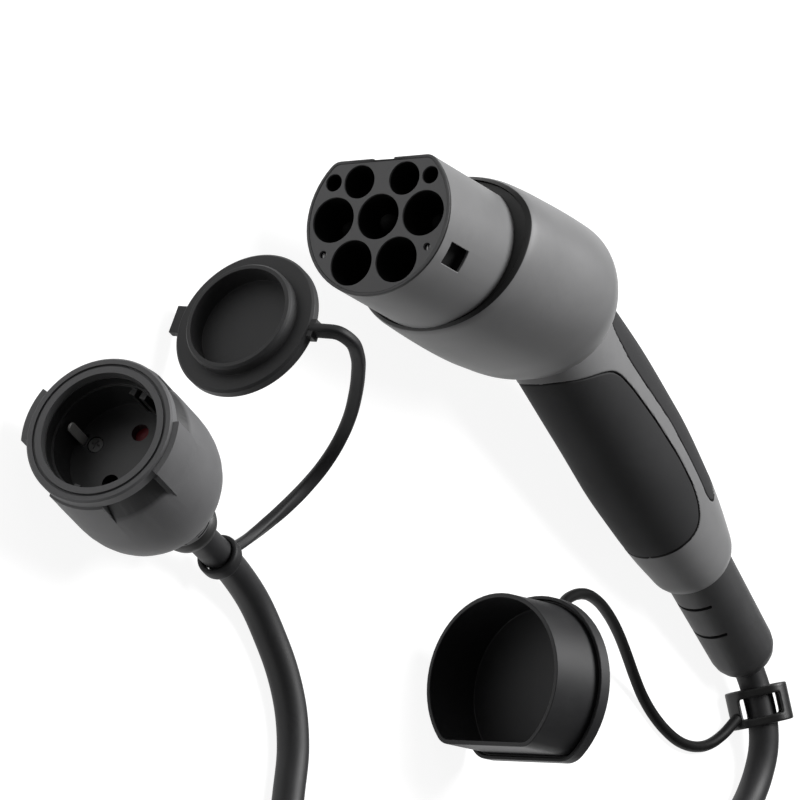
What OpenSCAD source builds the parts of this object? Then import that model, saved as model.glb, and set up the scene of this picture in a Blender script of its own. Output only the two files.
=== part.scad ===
// Adapter lead: a seven-hole charging plug with its dust cap, a short cable, and a round
// household coupler socket with its lid, lying on their sides as they come to rest.
// The plug, the cap, the lid and the socket each have a frame of their own, with +X out of
// the mating face. The place modules at the end set these frames down on the floor.

/* [Plug face] */
// Distance from the middle hole to each side hole
hole_pitch = 17.5; // [17.2:0.1:17.8]
// Radius of the five power holes
power_hole_r = 8; // [7.4:0.1:8.1]
// Radius of the two pilot holes
pilot_hole_r = 5.9; // [5:0.1:6.2]
// Height of the pilot holes above the middle hole
upper_row = 12.8; // [12.6:0.1:13.2]
// Depth of the lower power holes below the middle hole
lower_row = 15.6; // [15.4:0.1:15.8]
// Depth of the holes
hole_deep = 31; // [26:1:34]
// Radius of a power pin
power_pin_r = 3; // [2.8:0.1:3.2]
// Radius of a pilot pin
pilot_pin_r = 1.5; // [1.3:0.1:1.8]

/* [Plug nose] */
// Radius of the round nose
nose_r = 27.8; // [27.5:0.1:28.6]
// Height of the flat above the nose's middle
nose_flat = 20.6; // [20.2:0.1:21.4]
// Wall of the nose
nose_wall = 1.1; // [0.8:0.1:1.2]
// Length of the nose in front of the seal
nose_reach = 45; // [42:1:48]

/* [Plug housing] */
// Wall of the head and handle
shell_wall = 3.8; // [3.2:0.1:4.6]
// Thickness of the soft grips
grip_thick = 1.7; // [1.2:0.1:2]
// Length of the cable boot outside the collar
boot_len = 50; // [42:1:58]
// Outer radius of the boot where it leaves the collar
boot_r = 12.6; // [11.8:0.1:13.2]

/* [Cable] */
// Outer diameter of the cable
cable_d = 10.8; // [9.6:0.2:11.4]
// Diameter of the round tether
tether_d = 4; // [3:0.2:5]

/* [Dust cap] */
// Depth of the dust cap
cap_deep = 22.5; // [20:0.5:30]
// Wall of the dust cap
cap_wall = 1.5; // [1.2:0.1:2.4]
// How far the flange stands out from the cap's wall
cap_lip = 2.2; // [1.6:0.2:3.4]

/* [Coupler socket] */
// Outer radius of the rim round the mouth
rim_r = 25.2; // [24.6:0.1:25.8]
// Radius of the mouth
mouth_r = 20; // [19.8:0.1:20.4]
// Radius of the recess that the household plug enters
recess_r = 19.1; // [18.9:0.1:19.4]
// Depth of the recess behind the rim
recess_deep = 21.5; // [19:0.5:23]
// Distance between the two pin holes
pin_pitch = 19; // [18.8:0.1:19.2]
// Radius of a pin hole
pin_hole_r = 2.9; // [2.7:0.1:3]
// Outer radius of the body
body_r = 25.9; // [25.4:0.1:26.4]
// Length of the body behind the mouth
body_len = 53; // [50:1:60]

/* [Socket lid] */
// Radius of the lid
lid_r = 26; // [25.6:0.1:27.4]
// Height of the lid's plug ring
lid_ring_h = 4.5; // [3:0.5:6]

/* [Hidden] */
$fn = 48;

// clearance between rigid pieces that only sit together
gap = 0.1;
// clearance round the cable where it passes through a piece
cable_gap = 0.1;
cable_r = cable_d / 2;
cable_bore = cable_r + cable_gap;

// radius of the corners where the nose's flat meets its round side
nose_corner = 5;
// how far the nose runs on into the head
nose_tail = 9;
insert_r = nose_r - nose_wall - gap;
insert_flat = nose_flat - nose_wall - gap;
insert_len = hole_deep + 9;
// the shallow groove along the nose's flat
groove_w = 8;
groove_deep = 0.7;
// the lock notch in the nose's side: place, size and angle below the middle
notch_back = 6;
notch_len = 11.2;
notch_w = 7.8;
notch_turn = -27;
notch_deep = 2.9;
corner_hole = [18.8, 13.2, 3.1];
corner_hole_deep = 14;
screw_hole = [20.2, -11.9, 1.35];
screw_sunk = 1.6;
screw_len = 3.2;
power_tip = 14.5;
earth_lead = 4.5;
pin_tail = 12;
// how far the pins widen where they enter the insert's floor
pin_shoulder = 0.8;
tip_len = 2.5;

// places of the contact holes as [sideways, up]
middle_hole = [0, 0];
left_hole = [-hole_pitch, 0];
right_hole = [hole_pitch, 0];
lower_holes = [[-hole_pitch / 2, -lower_row], [hole_pitch / 2, -lower_row]];
upper_holes = [[-hole_pitch / 2, upper_row], [hole_pitch / 2, upper_row]];

// the head from its front edge to its rounded rear, as [x, lean, half width, top, bottom],
// with the height of its widest line last
head_rows = [
    [-nose_reach + 3.6, -9, 32.2, 27.8, 27.9, 4],
    [-nose_reach + 2.2, -9, 33.8, 29.2, 28.9, 4.5],
    [-nose_reach - 1.5, -9, 34.8, 30.0, 29.2, 4.5],
    [-nose_reach - 20, -4, 36.5, 30.6, 28.9, 3],
    [-nose_reach - 40, 0, 37.8, 30.7, 28.0, 2],
    [-nose_reach - 50, 0, 37.3, 31.0, 27.0, 1],
    [-nose_reach - 57, 0, 35.0, 31.4, 26.4, 0],
    [-nose_reach - 63, 0, 31.0, 31.6, 24.8, 0],
    [-nose_reach - 68, 0, 26.0, 30.6, 21.8, 0],
    [-nose_reach - 72, 0, 19.6, 27.8, 16.5, 0],
    [-nose_reach - 74.4, 0, 13.0, 22.8, 11.5, 0],
    [-nose_reach - 75.6, 0, 7.0, 16.0, 6.5, 0]];
head_square = 2.08;

// the handle from inside the head to its collar, as [x, z, slope, half width, half depth]
handle_rows = [
    [-92, 6.4, 21, 18.0, 21.0],
    [-110, 1.6, 22, 18.6, 22.0],
    [-131, -7.1, 23.5, 18.9, 22.8],
    [-155, -17.7, 24.5, 19.1, 23.6],
    [-178, -29, 26, 19.1, 23.6],
    [-202, -41, 27, 17.8, 22.0],
    [-215, -47.8, 28, 16.7, 19.8],
    [-224.5, -52.8, 28, 15.5, 17.4],
    [-229.5, -55.5, 28, 14.7, 15.9],
    [-232, -56.8, 28, 13.6, 14.5]];
handle_square = 2.15;
collar_last = len(handle_rows) - 1;
boot_at = [handle_rows[collar_last][0], handle_rows[collar_last][1]];
boot_slope = handle_rows[collar_last][2];
boot_end_r = 11.9;
// how far the boot's bore widens towards its end, where the cable bends
boot_mouth = 2.4;
boot_mouth_len = 16;
boot_neck_r = 9.4;
boot_neck_len = 9;
boot_flange = 2.5;
boot_bulb_r = 10.6;
slot_w = 1.3;
slot_deep = 3;
slot_span = 84;
slot_turn = -14;
boot_slots = [10, 24.5];

// outlines of the grips in the side view of the plug, as [x, z]
belly_outline = [[-100, -62], [-104, -30], [-113, -25.4], [-120, -22.4], [-127, -18],
    [-132, -15.8], [-137, -15.8], [-146, -18.3], [-163, -24.6], [-181, -32.6],
    [-194, -39.3], [-200, -44], [-203.4, -49], [-203.8, -53], [-202.4, -58],
    [-200, -63], [-199, -76], [-150, -90]];
back_outline = [[-120, 42], [-124, 9], [-128.6, -1.2], [-142, -9.8], [-162, -19.6],
    [-182, -29.5], [-199, -38.9], [-204, -41.6], [-207.6, -42], [-210, -40.2],
    [-211.4, -36], [-208, -10], [-160, 42]];
grip_seam = 0.3;
// the grips lie this far below the skin round them
grip_sunk = 0.1;

// cord clamp in the handle and the board behind the contacts
clamp_at = [-196, -37.9];
clamp_slope = 27;
clamp_bar = [7, 25, 4.5];
clamp_screw_r = 1.6;
clamp_head_r = 2.8;
board_size = [32, 30, 1.6];
board_at = [-insert_len - pin_tail - gap - board_size[0] / 2, 0, 9];

// dust cap
cap_fit = 0.35;
cap_in_r = nose_r + cap_fit;
cap_in_flat = nose_flat + cap_fit;
cap_back = 2;
cap_lip_len = 4.6;
cap_groove = 0.9;
boss_r = tether_d / 2 + 1.6;
boss_len = 4;
boss_turn = -90;
boss_at = [-cap_deep - cap_back + 0.2, 0, -14];

// clip on the cable: an oblong band with a window in front and behind
clip_len = 13.6;
clip_wide = 22.6;
clip_wall = 1.5;
clip_window = [7.4, 18];
clip_thick = cable_d + 2 * clip_wall;
clip_roll = 52;
// height of the clip's middle when its lower end rests on the floor
clip_high = (clip_wide - clip_thick) / 2 * sin(clip_roll) + clip_thick / 2 + 0.05;

// coupler socket, measured back from the mouth
rim_len = 4;
rim_groove_r = [22.2, 23.1];
rim_groove_deep = 1;
insert_out_r = recess_r + 2;
lip_len = 3.4;
step_len = 8;
face_thick = 3;
shutter_room = 3;
shutter_thick = 2.2;
base_len = 17;
pocket_len = 12;
pocket_r = 21.8;
pocket_span = 44;
lug_stand = 1.4;
lug_span = 40;
lug_turn = -18;
pin_turn = 63;
nose_w = 6.4;
nose_slot = 2;
nose_stand = 2.2;
nose_top = 9;
post_r = 2.4;
sleeve_r = 2.4;
sleeve_wall = 0.8;
sleeve_len = 15;
clip_reach = 9;
wing_r = 13.4;
wing_half = 21;
face_back = recess_deep + face_thick;
base_front = face_back + shutter_room;
base_back = base_front + base_len;
shoulder_r = 16.8;
shoulder_start = body_len - 21;
relief_start = body_len + 5;
relief_len = 20;
relief_r = 13.2;
slot_step = 2.6;
relief_slots = 4;

// lid and strap
lid_thick = 5;
lid_floor = 1.6;
lid_fit = 0.25;
lid_ring_r = mouth_r - lid_fit;
lid_ring_wall = 2;
tab_w = 10;
tab_reach = 3;
strap_d = 4.6;
strap_ring_r = cable_r + 2;
strap_ring_len = 5;

// how the plug, the socket, the cap and the lid come to rest on the floor
plug_roll = 6;
plug_pitch = 5.66;
plug_high = 46.38;
socket_at = [132, 109.1, 34.6];
socket_turn = -7.5;
socket_tip = 14.5;
cap_at = [-89.6, 136, 29.48];
cap_turn = 4;
cap_tip = -6.3;
cap_roll = 12;
lid_at = [50.5, 48.6, 29.62];
lid_turn = -12.5;
lid_tip = 7;
lid_root_turn = -12;

// the floor's middle point under the rigid pieces
to_middle = [69.6, -65.4, 0];

// points of the plug and of the socket in the frame of the floor
function spun_x(a, v) = [v[0], v[1] * cos(a) - v[2] * sin(a), v[1] * sin(a) + v[2] * cos(a)];
function spun_y(a, v) = [v[0] * cos(a) + v[2] * sin(a), v[1], v[2] * cos(a) - v[0] * sin(a)];
function spun_z(a, v) = [v[0] * cos(a) - v[1] * sin(a), v[0] * sin(a) + v[1] * cos(a), v[2]];
function plug_point(v) = [0, 0, plug_high] + spun_y(-plug_pitch, spun_x(90 - plug_roll, v));
function boot_point(s) = plug_point([boot_at[0] - s * cos(boot_slope), 0, boot_at[1] - s * sin(boot_slope)]);
function socket_point(v) = socket_at + spun_z(socket_turn, spun_y(-socket_tip, v));
function cap_point(v) = cap_at + spun_z(cap_turn, spun_y(-cap_tip, spun_x(-90 - cap_roll, v)));

// routes of the cords: the ends follow the pieces, the points between are chosen by hand
socket_back = -relief_start - relief_len;
cable_loop = [[-278.6, 88.6, clip_high], [-283.9, 101.8, clip_high], [-285.9, 110, 9], [-285.4, 118.6, 7.2],
    [-282.6, 126.7, 6], [-278, 134, 5.5], [-268.4, 144.6, 5.5], [-255, 157, 5.5], [-236, 172, 5.5],
    [-214, 187.5, 5.5], [-190, 202.5, 5.5], [-164, 217, 5.5], [-137, 230, 5.5], [-109, 241, 5.5],
    [-82, 249, 5.5], [-57, 252.5, 5.5], [-35, 249.5, 5.5], [-18, 240, 5.5], [-8.5, 225, 5.5],
    [-6, 207.5, 5.5], [-8.6, 191, 5.5], [-10.7, 175, 5.5], [-9, 161.5, 5.5], [-4, 149.5, 5.5],
    [3.2, 139.3, 5.5], [11.4, 131.4, 6.2], [25.8, 124.6, 8.6]];
// how far the cable leans to one side of the boot's mouth
cable_lean = [1, 1.8, 0];
cable_route = concat([boot_point(-46), boot_point(-20), boot_point(6), boot_point(boot_len - 15),
    boot_point(boot_len) + cable_lean], cable_loop,
    [socket_point([socket_back - 9, 0, 0]), socket_point([socket_back + 6, 0, 0]),
     socket_point([-relief_start - 6, 0, 0])]);
clip_from = cable_route[5];
clip_to = cable_route[6];
tether_route = concat([cap_point(boss_end(-2.4)), cap_point(boss_end(0)), cap_point(boss_end(3))],
    [[-123.6, 117, 35.4], [-125.8, 111.5, 34.2], [-127.8, 104.5, 32], [-132.4, 98, 29.4], [-140.4, 93, 27.2],
     [-151.8, 89, 24.8], [-164.6, 88, 21.4], [-177.4, 89.6, 17.4], [-189, 92.4, 13.2], [-200.2, 96.3, 8.8],
     [-210, 100.9, 5.2], [-218, 105.6, 3], [-225.6, 110.2, 2.1], [-233, 114, 2.1], [-242, 116.4, 2.1],
     [-252, 116, 2.1], [-261, 113, 2.3], [-268.4, 107.6, 3.6], [-273.6, 101, 6]]);
function boss_end(d) = boss_at + (boss_len + d) * [sin(boss_turn), 0, cos(boss_turn)];
ring_mid = (cable_route[len(cable_route) - 3] + cable_route[len(cable_route) - 4]) / 2;
ring_way = cable_route[len(cable_route) - 4] - cable_route[len(cable_route) - 3];
strap_arc = [[43.6, 56.9, 62.8], [38.2, 58.4, 64], [30, 60.6, 60.8], [21, 63.4, 54.4], [13.2, 66.6, 47.6],
    [6.8, 70.2, 41], [2, 73.9, 34.6], [-0.8, 78.6, 28.4], [-1.4, 84, 22.6], [0.8, 90.4, 17.4], [6, 97.6, 13.6],
    [13.4, 105, 11.2], [21, 111.4, 10.2]];
strap_route = concat([lid_point([-2.6, 0, lid_r - 1]), lid_point([-2.6, 0, lid_r + 4])], strap_arc,
    [ring_mid + (strap_ring_r - 1.6) * unit([21, 111.4, 10.2] - ring_mid)]);
function lid_point(v) = lid_at + spun_z(lid_turn, spun_y(-lid_tip, spun_x(lid_root_turn, v)));

// cross-sections and helpers
function rounded_d(r, flat, c) =
    let (xc = sqrt(pow(r - c, 2) - pow(flat - c, 2)), a = atan2(flat - c, xc))
    concat([for (i = [0:6]) [xc, flat - c] + c * turned(a + (90 - a) * i / 6)],
        [for (i = [0:6]) [-xc, flat - c] + c * turned(90 + (90 - a) * i / 6)],
        [for (i = [1:47]) r * turned(180 - a + (180 + 2 * a) * i / 48)]);
function turned(a) = [cos(a), sin(a)];
function signed_power(v, p) = sign(v) * pow(abs(v), p);
function oval(half, up, down, mid, square, sides = 36) =
    [for (i = [0:sides - 1]) let (a = 360 * (i + 0.5) / sides)
        [half * signed_power(cos(a), 2 / square),
         mid + (sin(a) > 0 ? up - mid : down + mid) * signed_power(sin(a), 2 / square)]];
function unit(v) = v / norm(v);
function tangent(route, i) =
    unit(route[min(i + 1, len(route) - 1)] - route[max(i - 1, 0)]);
function ring_at(route, i, r, sides) =
    let (t = tangent(route, i), side = unit(cross(t, [0, 0, 1])), up = cross(side, t))
    [for (k = [0:sides - 1]) route[i] + r * (side * cos(360 * k / sides) + up * sin(360 * k / sides))];

module tube_along(route, r, sides) {
    rings = len(route);
    points = [for (i = [0:rings - 1]) each ring_at(route, i, r, sides)];
    walls = [for (i = [0:rings - 2], k = [0:sides - 1])
        [i * sides + k, i * sides + (k + 1) % sides, (i + 1) * sides + (k + 1) % sides,
         (i + 1) * sides + k]];
    first = [for (k = [0:sides - 1]) sides - 1 - k];
    last = [for (k = [0:sides - 1]) (rings - 1) * sides + k];
    polyhedron(points, concat(walls, [first, last]), convexity = 6);
}

// a closed skin from one outline to the next, each with the same number of points
module closed_skin(outlines) {
    rings = len(outlines);
    sides = len(outlines[0]);
    walls = [for (i = [0:rings - 2], k = [0:sides - 1])
        let (a = i * sides + k, b = i * sides + (k + 1) % sides)
        each [[a, b, b + sides], [a, b + sides, a + sides]]];
    first = [for (k = [0:sides - 1]) sides - 1 - k];
    last = [for (k = [0:sides - 1]) (rings - 1) * sides + k];
    polyhedron([for (o = outlines) each o], concat(walls, [first, last]), convexity = 6);
}

// lays a drawing that stands in the XY plane upright, so that it faces +X with its top up
module facing() rotate([90, 0, 90]) children();

// an extrusion of a face outline from depth a to depth b behind the mating face
module slab(a, b) translate([-b, 0, 0]) facing() linear_extrude(b - a) children();

// a solid of revolution about the X axis from [distance behind the face, radius] points
module turned_about_x(points) rotate([0, -90, 0]) rotate_extrude() polygon([for (p = points) [p[1], p[0]]]);

// a cylinder behind the face from depth a to depth b at [sideways, up]
module rod(at, r, a, b) translate([-b, at[0], at[1]]) rotate([0, 90, 0]) cylinder(r = r, h = b - a);

// a box round [sideways, up] = [0, out], from depth a to depth b
module block(a, b, wide, low, high) translate([-b, -wide / 2, low]) cube([b - a, wide, high - low]);

module nose_solid(grow, a, b) slab(a, b) polygon(rounded_d(nose_r + grow, nose_flat + grow, nose_corner + grow));

module notch_solid(grow, low) rotate([notch_turn - 90, 0, 0])
    block(notch_back - grow, notch_back + notch_len + grow, notch_w + 2 * grow, low, nose_r + 3);

module plug_nose() color("gray") on_plug() difference() {
    nose_solid(0, 0, nose_reach + nose_tail);
    nose_solid(-nose_wall, -1, nose_reach + nose_tail + 1);
    translate([-nose_reach, -groove_w / 2, nose_flat - groove_deep])
        cube([nose_reach + 1, groove_w, 2]);
    notch_solid(0, insert_r - 3);
}

module contact_insert() color("dimgray") on_plug() difference() {
    slab(0.2, insert_len) polygon(rounded_d(insert_r, insert_flat, nose_corner - nose_wall));
    for (h = concat([middle_hole, left_hole, right_hole], lower_holes))
        rod(h, power_hole_r, -1, hole_deep);
    for (h = upper_holes)
        rod(h, pilot_hole_r, -1, hole_deep);
    for (s = [-1, 1])
        rod([s * corner_hole[0], corner_hole[1]], corner_hole[2], -1, corner_hole_deep);
    for (s = [-1, 1])
        rod([s * screw_hole[0], screw_hole[1]], screw_hole[2], -1, screw_sunk + screw_len);
    for (h = [middle_hole, left_hole, right_hole])
        rod(h, power_pin_r + pin_shoulder + 0.02, 0, insert_len + 1);
    for (h = upper_holes)
        rod(h, pilot_pin_r + pin_shoulder + 0.02, 0, insert_len + 1);
    notch_solid(0.3, nose_r - nose_wall - notch_deep);
}

module contact_pin(at, r, tip) {
    rod(at, r, tip, hole_deep);
    rod(at, r + pin_shoulder, hole_deep - pin_shoulder, insert_len + 0.2);
    rod(at, r + 1.6, insert_len + 0.05, insert_len + 3);
    difference() {
        rod(at, r + 0.6, insert_len + 2.9, insert_len + pin_tail);
        rod(at, r - 0.6, insert_len + 4, insert_len + pin_tail + 1);
    }
}

module pe_pin() color("gold") on_plug() contact_pin(middle_hole, power_pin_r, power_tip - earth_lead);
module phase_pin() color("silver") on_plug() contact_pin(right_hole, power_pin_r, power_tip);
module neutral_pin() color("silver") on_plug() contact_pin(left_hole, power_pin_r, power_tip);
module pilot_pin() color("silver") on_plug() contact_pin(upper_holes[1], pilot_pin_r, power_tip + 4);
module proximity_pin() color("silver") on_plug() contact_pin(upper_holes[0], pilot_pin_r, power_tip + 4);

module tip(at, r, front) {
    rod(at, r, front - tip_len, front);
    intersection() {
        translate([tip_len - front, at[0], at[1]]) sphere(r = r);
        rod(at, r + 1, front - tip_len - r - 1, front - tip_len + 0.1);
    }
}

module pin_tips() color("black") on_plug() {
    tip(middle_hole, power_pin_r, power_tip - earth_lead);
    for (h = [left_hole, right_hole])
        tip(h, power_pin_r, power_tip);
    for (h = upper_holes)
        tip(h, pilot_pin_r, power_tip + 4);
}

module insert_screws() color("dimgray") on_plug() for (s = [-1, 1]) difference() {
    rod([s * screw_hole[0], screw_hole[1]], screw_hole[2] - 0.1, screw_sunk, screw_sunk + screw_len);
    translate([-screw_sunk - 0.7, s * screw_hole[0] - 0.25, screw_hole[1] - 2]) cube([1, 0.5, 4]);
}

// the outline of one cross-section of the head or of the handle, in the plug's frame
function head_outline(row, grow) = [for (p = oval(row[2] + grow, row[3] + grow, row[4] + grow, row[5], head_square))
    [row[0] + p[1] * sin(row[1]), p[0], p[1] * cos(row[1])]];
function handle_outline(row, grow) = [for (p = oval(row[3] + grow, row[4] + grow, row[4] + grow, 0, handle_square))
    [row[0] - p[1] * sin(row[2]), p[0], row[1] + p[1] * cos(row[2])]];
module head_solid(first, last, grow)
    closed_skin([for (i = [first:last]) head_outline(head_rows[i], grow)]);
module handle_solid(first, last, grow)
    closed_skin([for (i = [first:last]) handle_outline(handle_rows[i], grow)]);

module side_view(outline, grow) rotate([90, 0, 0]) linear_extrude(120, center = true)
    offset(delta = grow) polygon(outline);

// the skin of the handle between two depths below its surface
module handle_skin(out, in) difference() {
    handle_solid(0, collar_last, out);
    handle_solid(0, collar_last, in);
}

module seal_outline(grow) polygon(oval(head_rows[1][2] + grow, head_rows[1][3] + grow,
    head_rows[1][4] + grow, head_rows[1][5], head_square));
module seal_seat(grow, thick) translate([head_rows[1][0], 0, 0]) rotate([0, head_rows[1][1], 0])
    translate([-thick, 0, 0]) facing() linear_extrude(thick + 6) seal_outline(grow);

module ring_seal() color("black") on_plug() difference() {
    translate([head_rows[1][0], 0, 0]) rotate([0, head_rows[1][1], 0])
        translate([-3.4, 0, 0]) facing() linear_extrude(4) seal_outline(-1.9);
    nose_solid(0.05, 0, 80);
}

module housing() color("gray") on_plug() difference() {
    union() {
        head_solid(0, len(head_rows) - 1, 0);
        difference() {
            handle_solid(0, collar_last, 0);
            intersection() {
                handle_skin(3, -grip_thick - grip_sunk);
                union() {
                    side_view(belly_outline, 0);
                    side_view(back_outline, 0);
                }
            }
        }
    }
    seal_seat(-1.7, 3.5);
    nose_solid(0.12, 0, nose_reach + nose_tail + 0.1);
    head_solid(4, len(head_rows) - 3, -shell_wall);
    translate([4, 0, 0]) intersection() {
        head_solid(2, len(head_rows) - 3, -shell_wall);
        nose_solid(-2, 0, 90);
    }
    handle_solid(0, collar_last - 2, -shell_wall);
    boot_bore();
}

// the room in the collar that the boot's neck and flange fill
module boot_bore() on_boot_axis() {
    translate([-4, 0, 0]) rotate([0, 90, 0]) cylinder(r = boot_neck_r + gap, h = boot_neck_len + 14);
}

module on_boot_axis() translate([boot_at[0], 0, boot_at[1]]) rotate([0, -boot_slope, 0]) children();

module belly_grip() color([0.2, 0.2, 0.2]) on_plug() intersection() {
    handle_skin(-grip_sunk, -grip_thick);
    side_view(belly_outline, -grip_seam);
}

module back_grip() color([0.25, 0.25, 0.25]) on_plug() intersection() {
    handle_skin(-grip_sunk, -grip_thick);
    side_view(back_outline, -grip_seam);
}

module boot_slot(at, turn) rotate([turn, 0, 0]) rotate([0, -90, 0])
    rotate([0, 0, -slot_span / 2]) translate([0, 0, at]) rotate_extrude(angle = slot_span)
    translate([boot_r - slot_deep, 0]) square([slot_deep + 1, slot_w]);

module cable_boot() color([0.18, 0.18, 0.18]) on_plug() on_boot_axis() difference() {
    turned_about_x([[-boot_neck_len, 0], [-boot_neck_len, boot_neck_r], [0.1, boot_neck_r],
        [0.1, boot_r - 0.4], [0.8, boot_r], [boot_len - 7.4, boot_end_r], [boot_len - 4.4, boot_end_r - 0.5],
        [boot_len - 1.8, boot_end_r - 1.7], [boot_len - 0.4, boot_end_r - 2.9],
        [boot_len, boot_end_r - 3.6], [boot_len, 0]]);
    turned_about_x([[-boot_neck_len - 1, 0], [-boot_neck_len - 1, cable_bore],
        [boot_len - boot_mouth_len, cable_bore], [boot_len - boot_mouth_len / 2, cable_bore + boot_mouth / 3],
        [boot_len + 0.1, cable_bore + boot_mouth], [boot_len + 0.1, 0]]);
    for (at = boot_slots, turn = [slot_turn, slot_turn + 180])
        boot_slot(at, turn);
}

module on_clamp() translate([clamp_at[0], 0, clamp_at[1]]) rotate([0, -clamp_slope, 0]) children();

module cord_clamp() color("dimgray") on_plug() on_clamp() difference() {
    translate([-clamp_bar[0] / 2, -clamp_bar[1] / 2, cable_bore - 2])
        cube(clamp_bar);
    translate([-20, 0, 0]) rotate([0, 90, 0]) cylinder(r = cable_bore, h = 40);
    for (s = [-1, 1])
        translate([0, s * (clamp_bar[1] / 2 - 3), 0]) cylinder(r = clamp_screw_r + 0.1, h = 20);
}

module clamp_screws() color("silver") on_plug() on_clamp() for (s = [-1, 1])
    translate([0, s * (clamp_bar[1] / 2 - 3), 0]) {
        translate([0, 0, -4]) cylinder(r = clamp_screw_r, h = cable_bore + 6.6);
        translate([0, 0, cable_bore - 2 + clamp_bar[2] + 0.05]) cylinder(r = clamp_head_r, h = 1.8);
    }

module coding_board() color("darkgreen") on_plug() translate(board_at) union() {
    translate([-board_size[0] / 2, -board_size[1] / 2, 0]) cube(board_size);
    for (y = [-8, 0])
        translate([-3, y, board_size[2] + 1]) rotate([0, 90, 0]) cylinder(r = 1.2, h = 7);
    translate([-12, -3, board_size[2] - 0.1]) cube([4, 6, 2]);
    translate([6, 5, board_size[2] - 0.1]) cube([6, 5, 3]);
}

module cable() color([0.12, 0.12, 0.12]) translate(to_middle) tube_along(cable_route, cable_r, 12);
module cap_tether() color([0.1, 0.1, 0.1]) translate(to_middle) tube_along(tether_route, tether_d / 2, 8);

module on_cable_clip() translate(to_middle + (clip_from + clip_to) / 2)
    rotate([clip_roll, -asin(unit(clip_to - clip_from)[2]), atan2(clip_to[1] - clip_from[1], clip_to[0] - clip_from[0])])
    children();

module oblong(wide, thick, long) for (s = [-1, 1])
    translate([-long / 2, s * (wide - thick) / 2, 0]) rotate([0, 90, 0]) cylinder(r = thick / 2, h = long);

module oblong_bar(wide, thick, long) union() {
    oblong(wide, thick, long);
    translate([-long / 2, -(wide - thick) / 2, -thick / 2]) cube([long, wide - thick, thick]);
}

module cap_clip() color([0.1, 0.1, 0.1]) on_cable_clip() difference() {
    oblong_bar(clip_wide, clip_thick, clip_len);
    oblong_bar(clip_wide - 2 * clip_wall, cable_d, clip_len + 2);
    translate([-clip_window[0] / 2, -clip_window[1] / 2, -20])
        cube([clip_window[0], clip_window[1], 40]);
}

module cap_shape(grow, a, b) slab(a, b)
    polygon(rounded_d(cap_in_r + grow, cap_in_flat + grow, nose_corner + grow));

module plug_cap() color([0.16, 0.16, 0.16]) on_cap() difference() {
    union() {
        cap_shape(cap_wall, 0, cap_deep + cap_back);
        difference() {
            cap_shape(cap_wall + cap_lip, cap_deep + cap_back - cap_lip_len, cap_deep + cap_back);
            difference() {
                cap_shape(cap_wall + cap_groove, cap_deep + cap_back - cap_lip_len - 1,
                    cap_deep + cap_back - cap_lip_len + 1.6);
                cap_shape(cap_wall - 0.2, 0, cap_deep + cap_back);
            }
        }
        cap_boss(boss_r, 0);
    }
    cap_shape(0, -1, cap_deep);
    cap_boss(tether_d / 2 + 0.05, 1.5);
}

// the boss on the cap's back that holds the tether
module cap_boss(r, floor) translate(boss_at) rotate([0, boss_turn, 0]) translate([0, 0, floor])
    cylinder(r = r, h = boss_len);

module socket_body() color("gray") on_socket() difference() {
    union() {
        turned_about_x(concat([[0, mouth_r], [0, rim_r - 0.6], [0.6, rim_r], [rim_len, rim_r],
            [rim_len + 0.6, body_r]], shoulder_arc(),
            [[body_len, shoulder_r - 0.3], [body_len, 15], [base_back + 1, 15],
             [base_back + 1, insert_out_r + gap], [lip_len, insert_out_r + gap], [lip_len, mouth_r]]));
        intersection() {
            turned_about_x([[0.8, rim_r - 2], [0.8, body_r + lug_stand], [12, body_r + lug_stand],
                [20, body_r], [20, rim_r - 2]]);
            for (k = [0, 2])
                rotate([lug_turn + 90 * k, 0, 0]) lug_wedge();
        }
    }
    turned_about_x([[-1, rim_groove_r[0]], [-1, rim_groove_r[1]], [rim_groove_deep, rim_groove_r[1]],
        [rim_groove_deep, rim_groove_r[0]]]);
    for (k = [0:3])
        rotate([lug_turn + 45 + 90 * k, 0, 0]) grip_pocket();
}

function shoulder_arc() = [for (i = [0:8])
    let (a = 90 * i / 8) [shoulder_start + (body_len - shoulder_start) * sin(a),
        shoulder_r + (body_r - shoulder_r) * cos(a)]];

module lug_wedge() translate([-30, 0, 0]) rotate([90, 0, 90]) linear_extrude(40)
    polygon([[0, 0], 40 * turned(90 - lug_span / 2), 40 * turned(90), 40 * turned(90 + lug_span / 2)]);

// a scooped finger pocket behind the rim
module grip_pocket() intersection() {
    turned_about_x([[rim_len, pocket_r], [rim_len, 40], [rim_len + pocket_len, 40],
        [rim_len + pocket_len, body_r]]);
    translate([-30, 0, 0]) rotate([90, 0, 90]) linear_extrude(40)
        polygon([[0, 0], 60 * turned(90 - pocket_span / 2), 60 * turned(90), 60 * turned(90 + pocket_span / 2)]);
}

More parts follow.
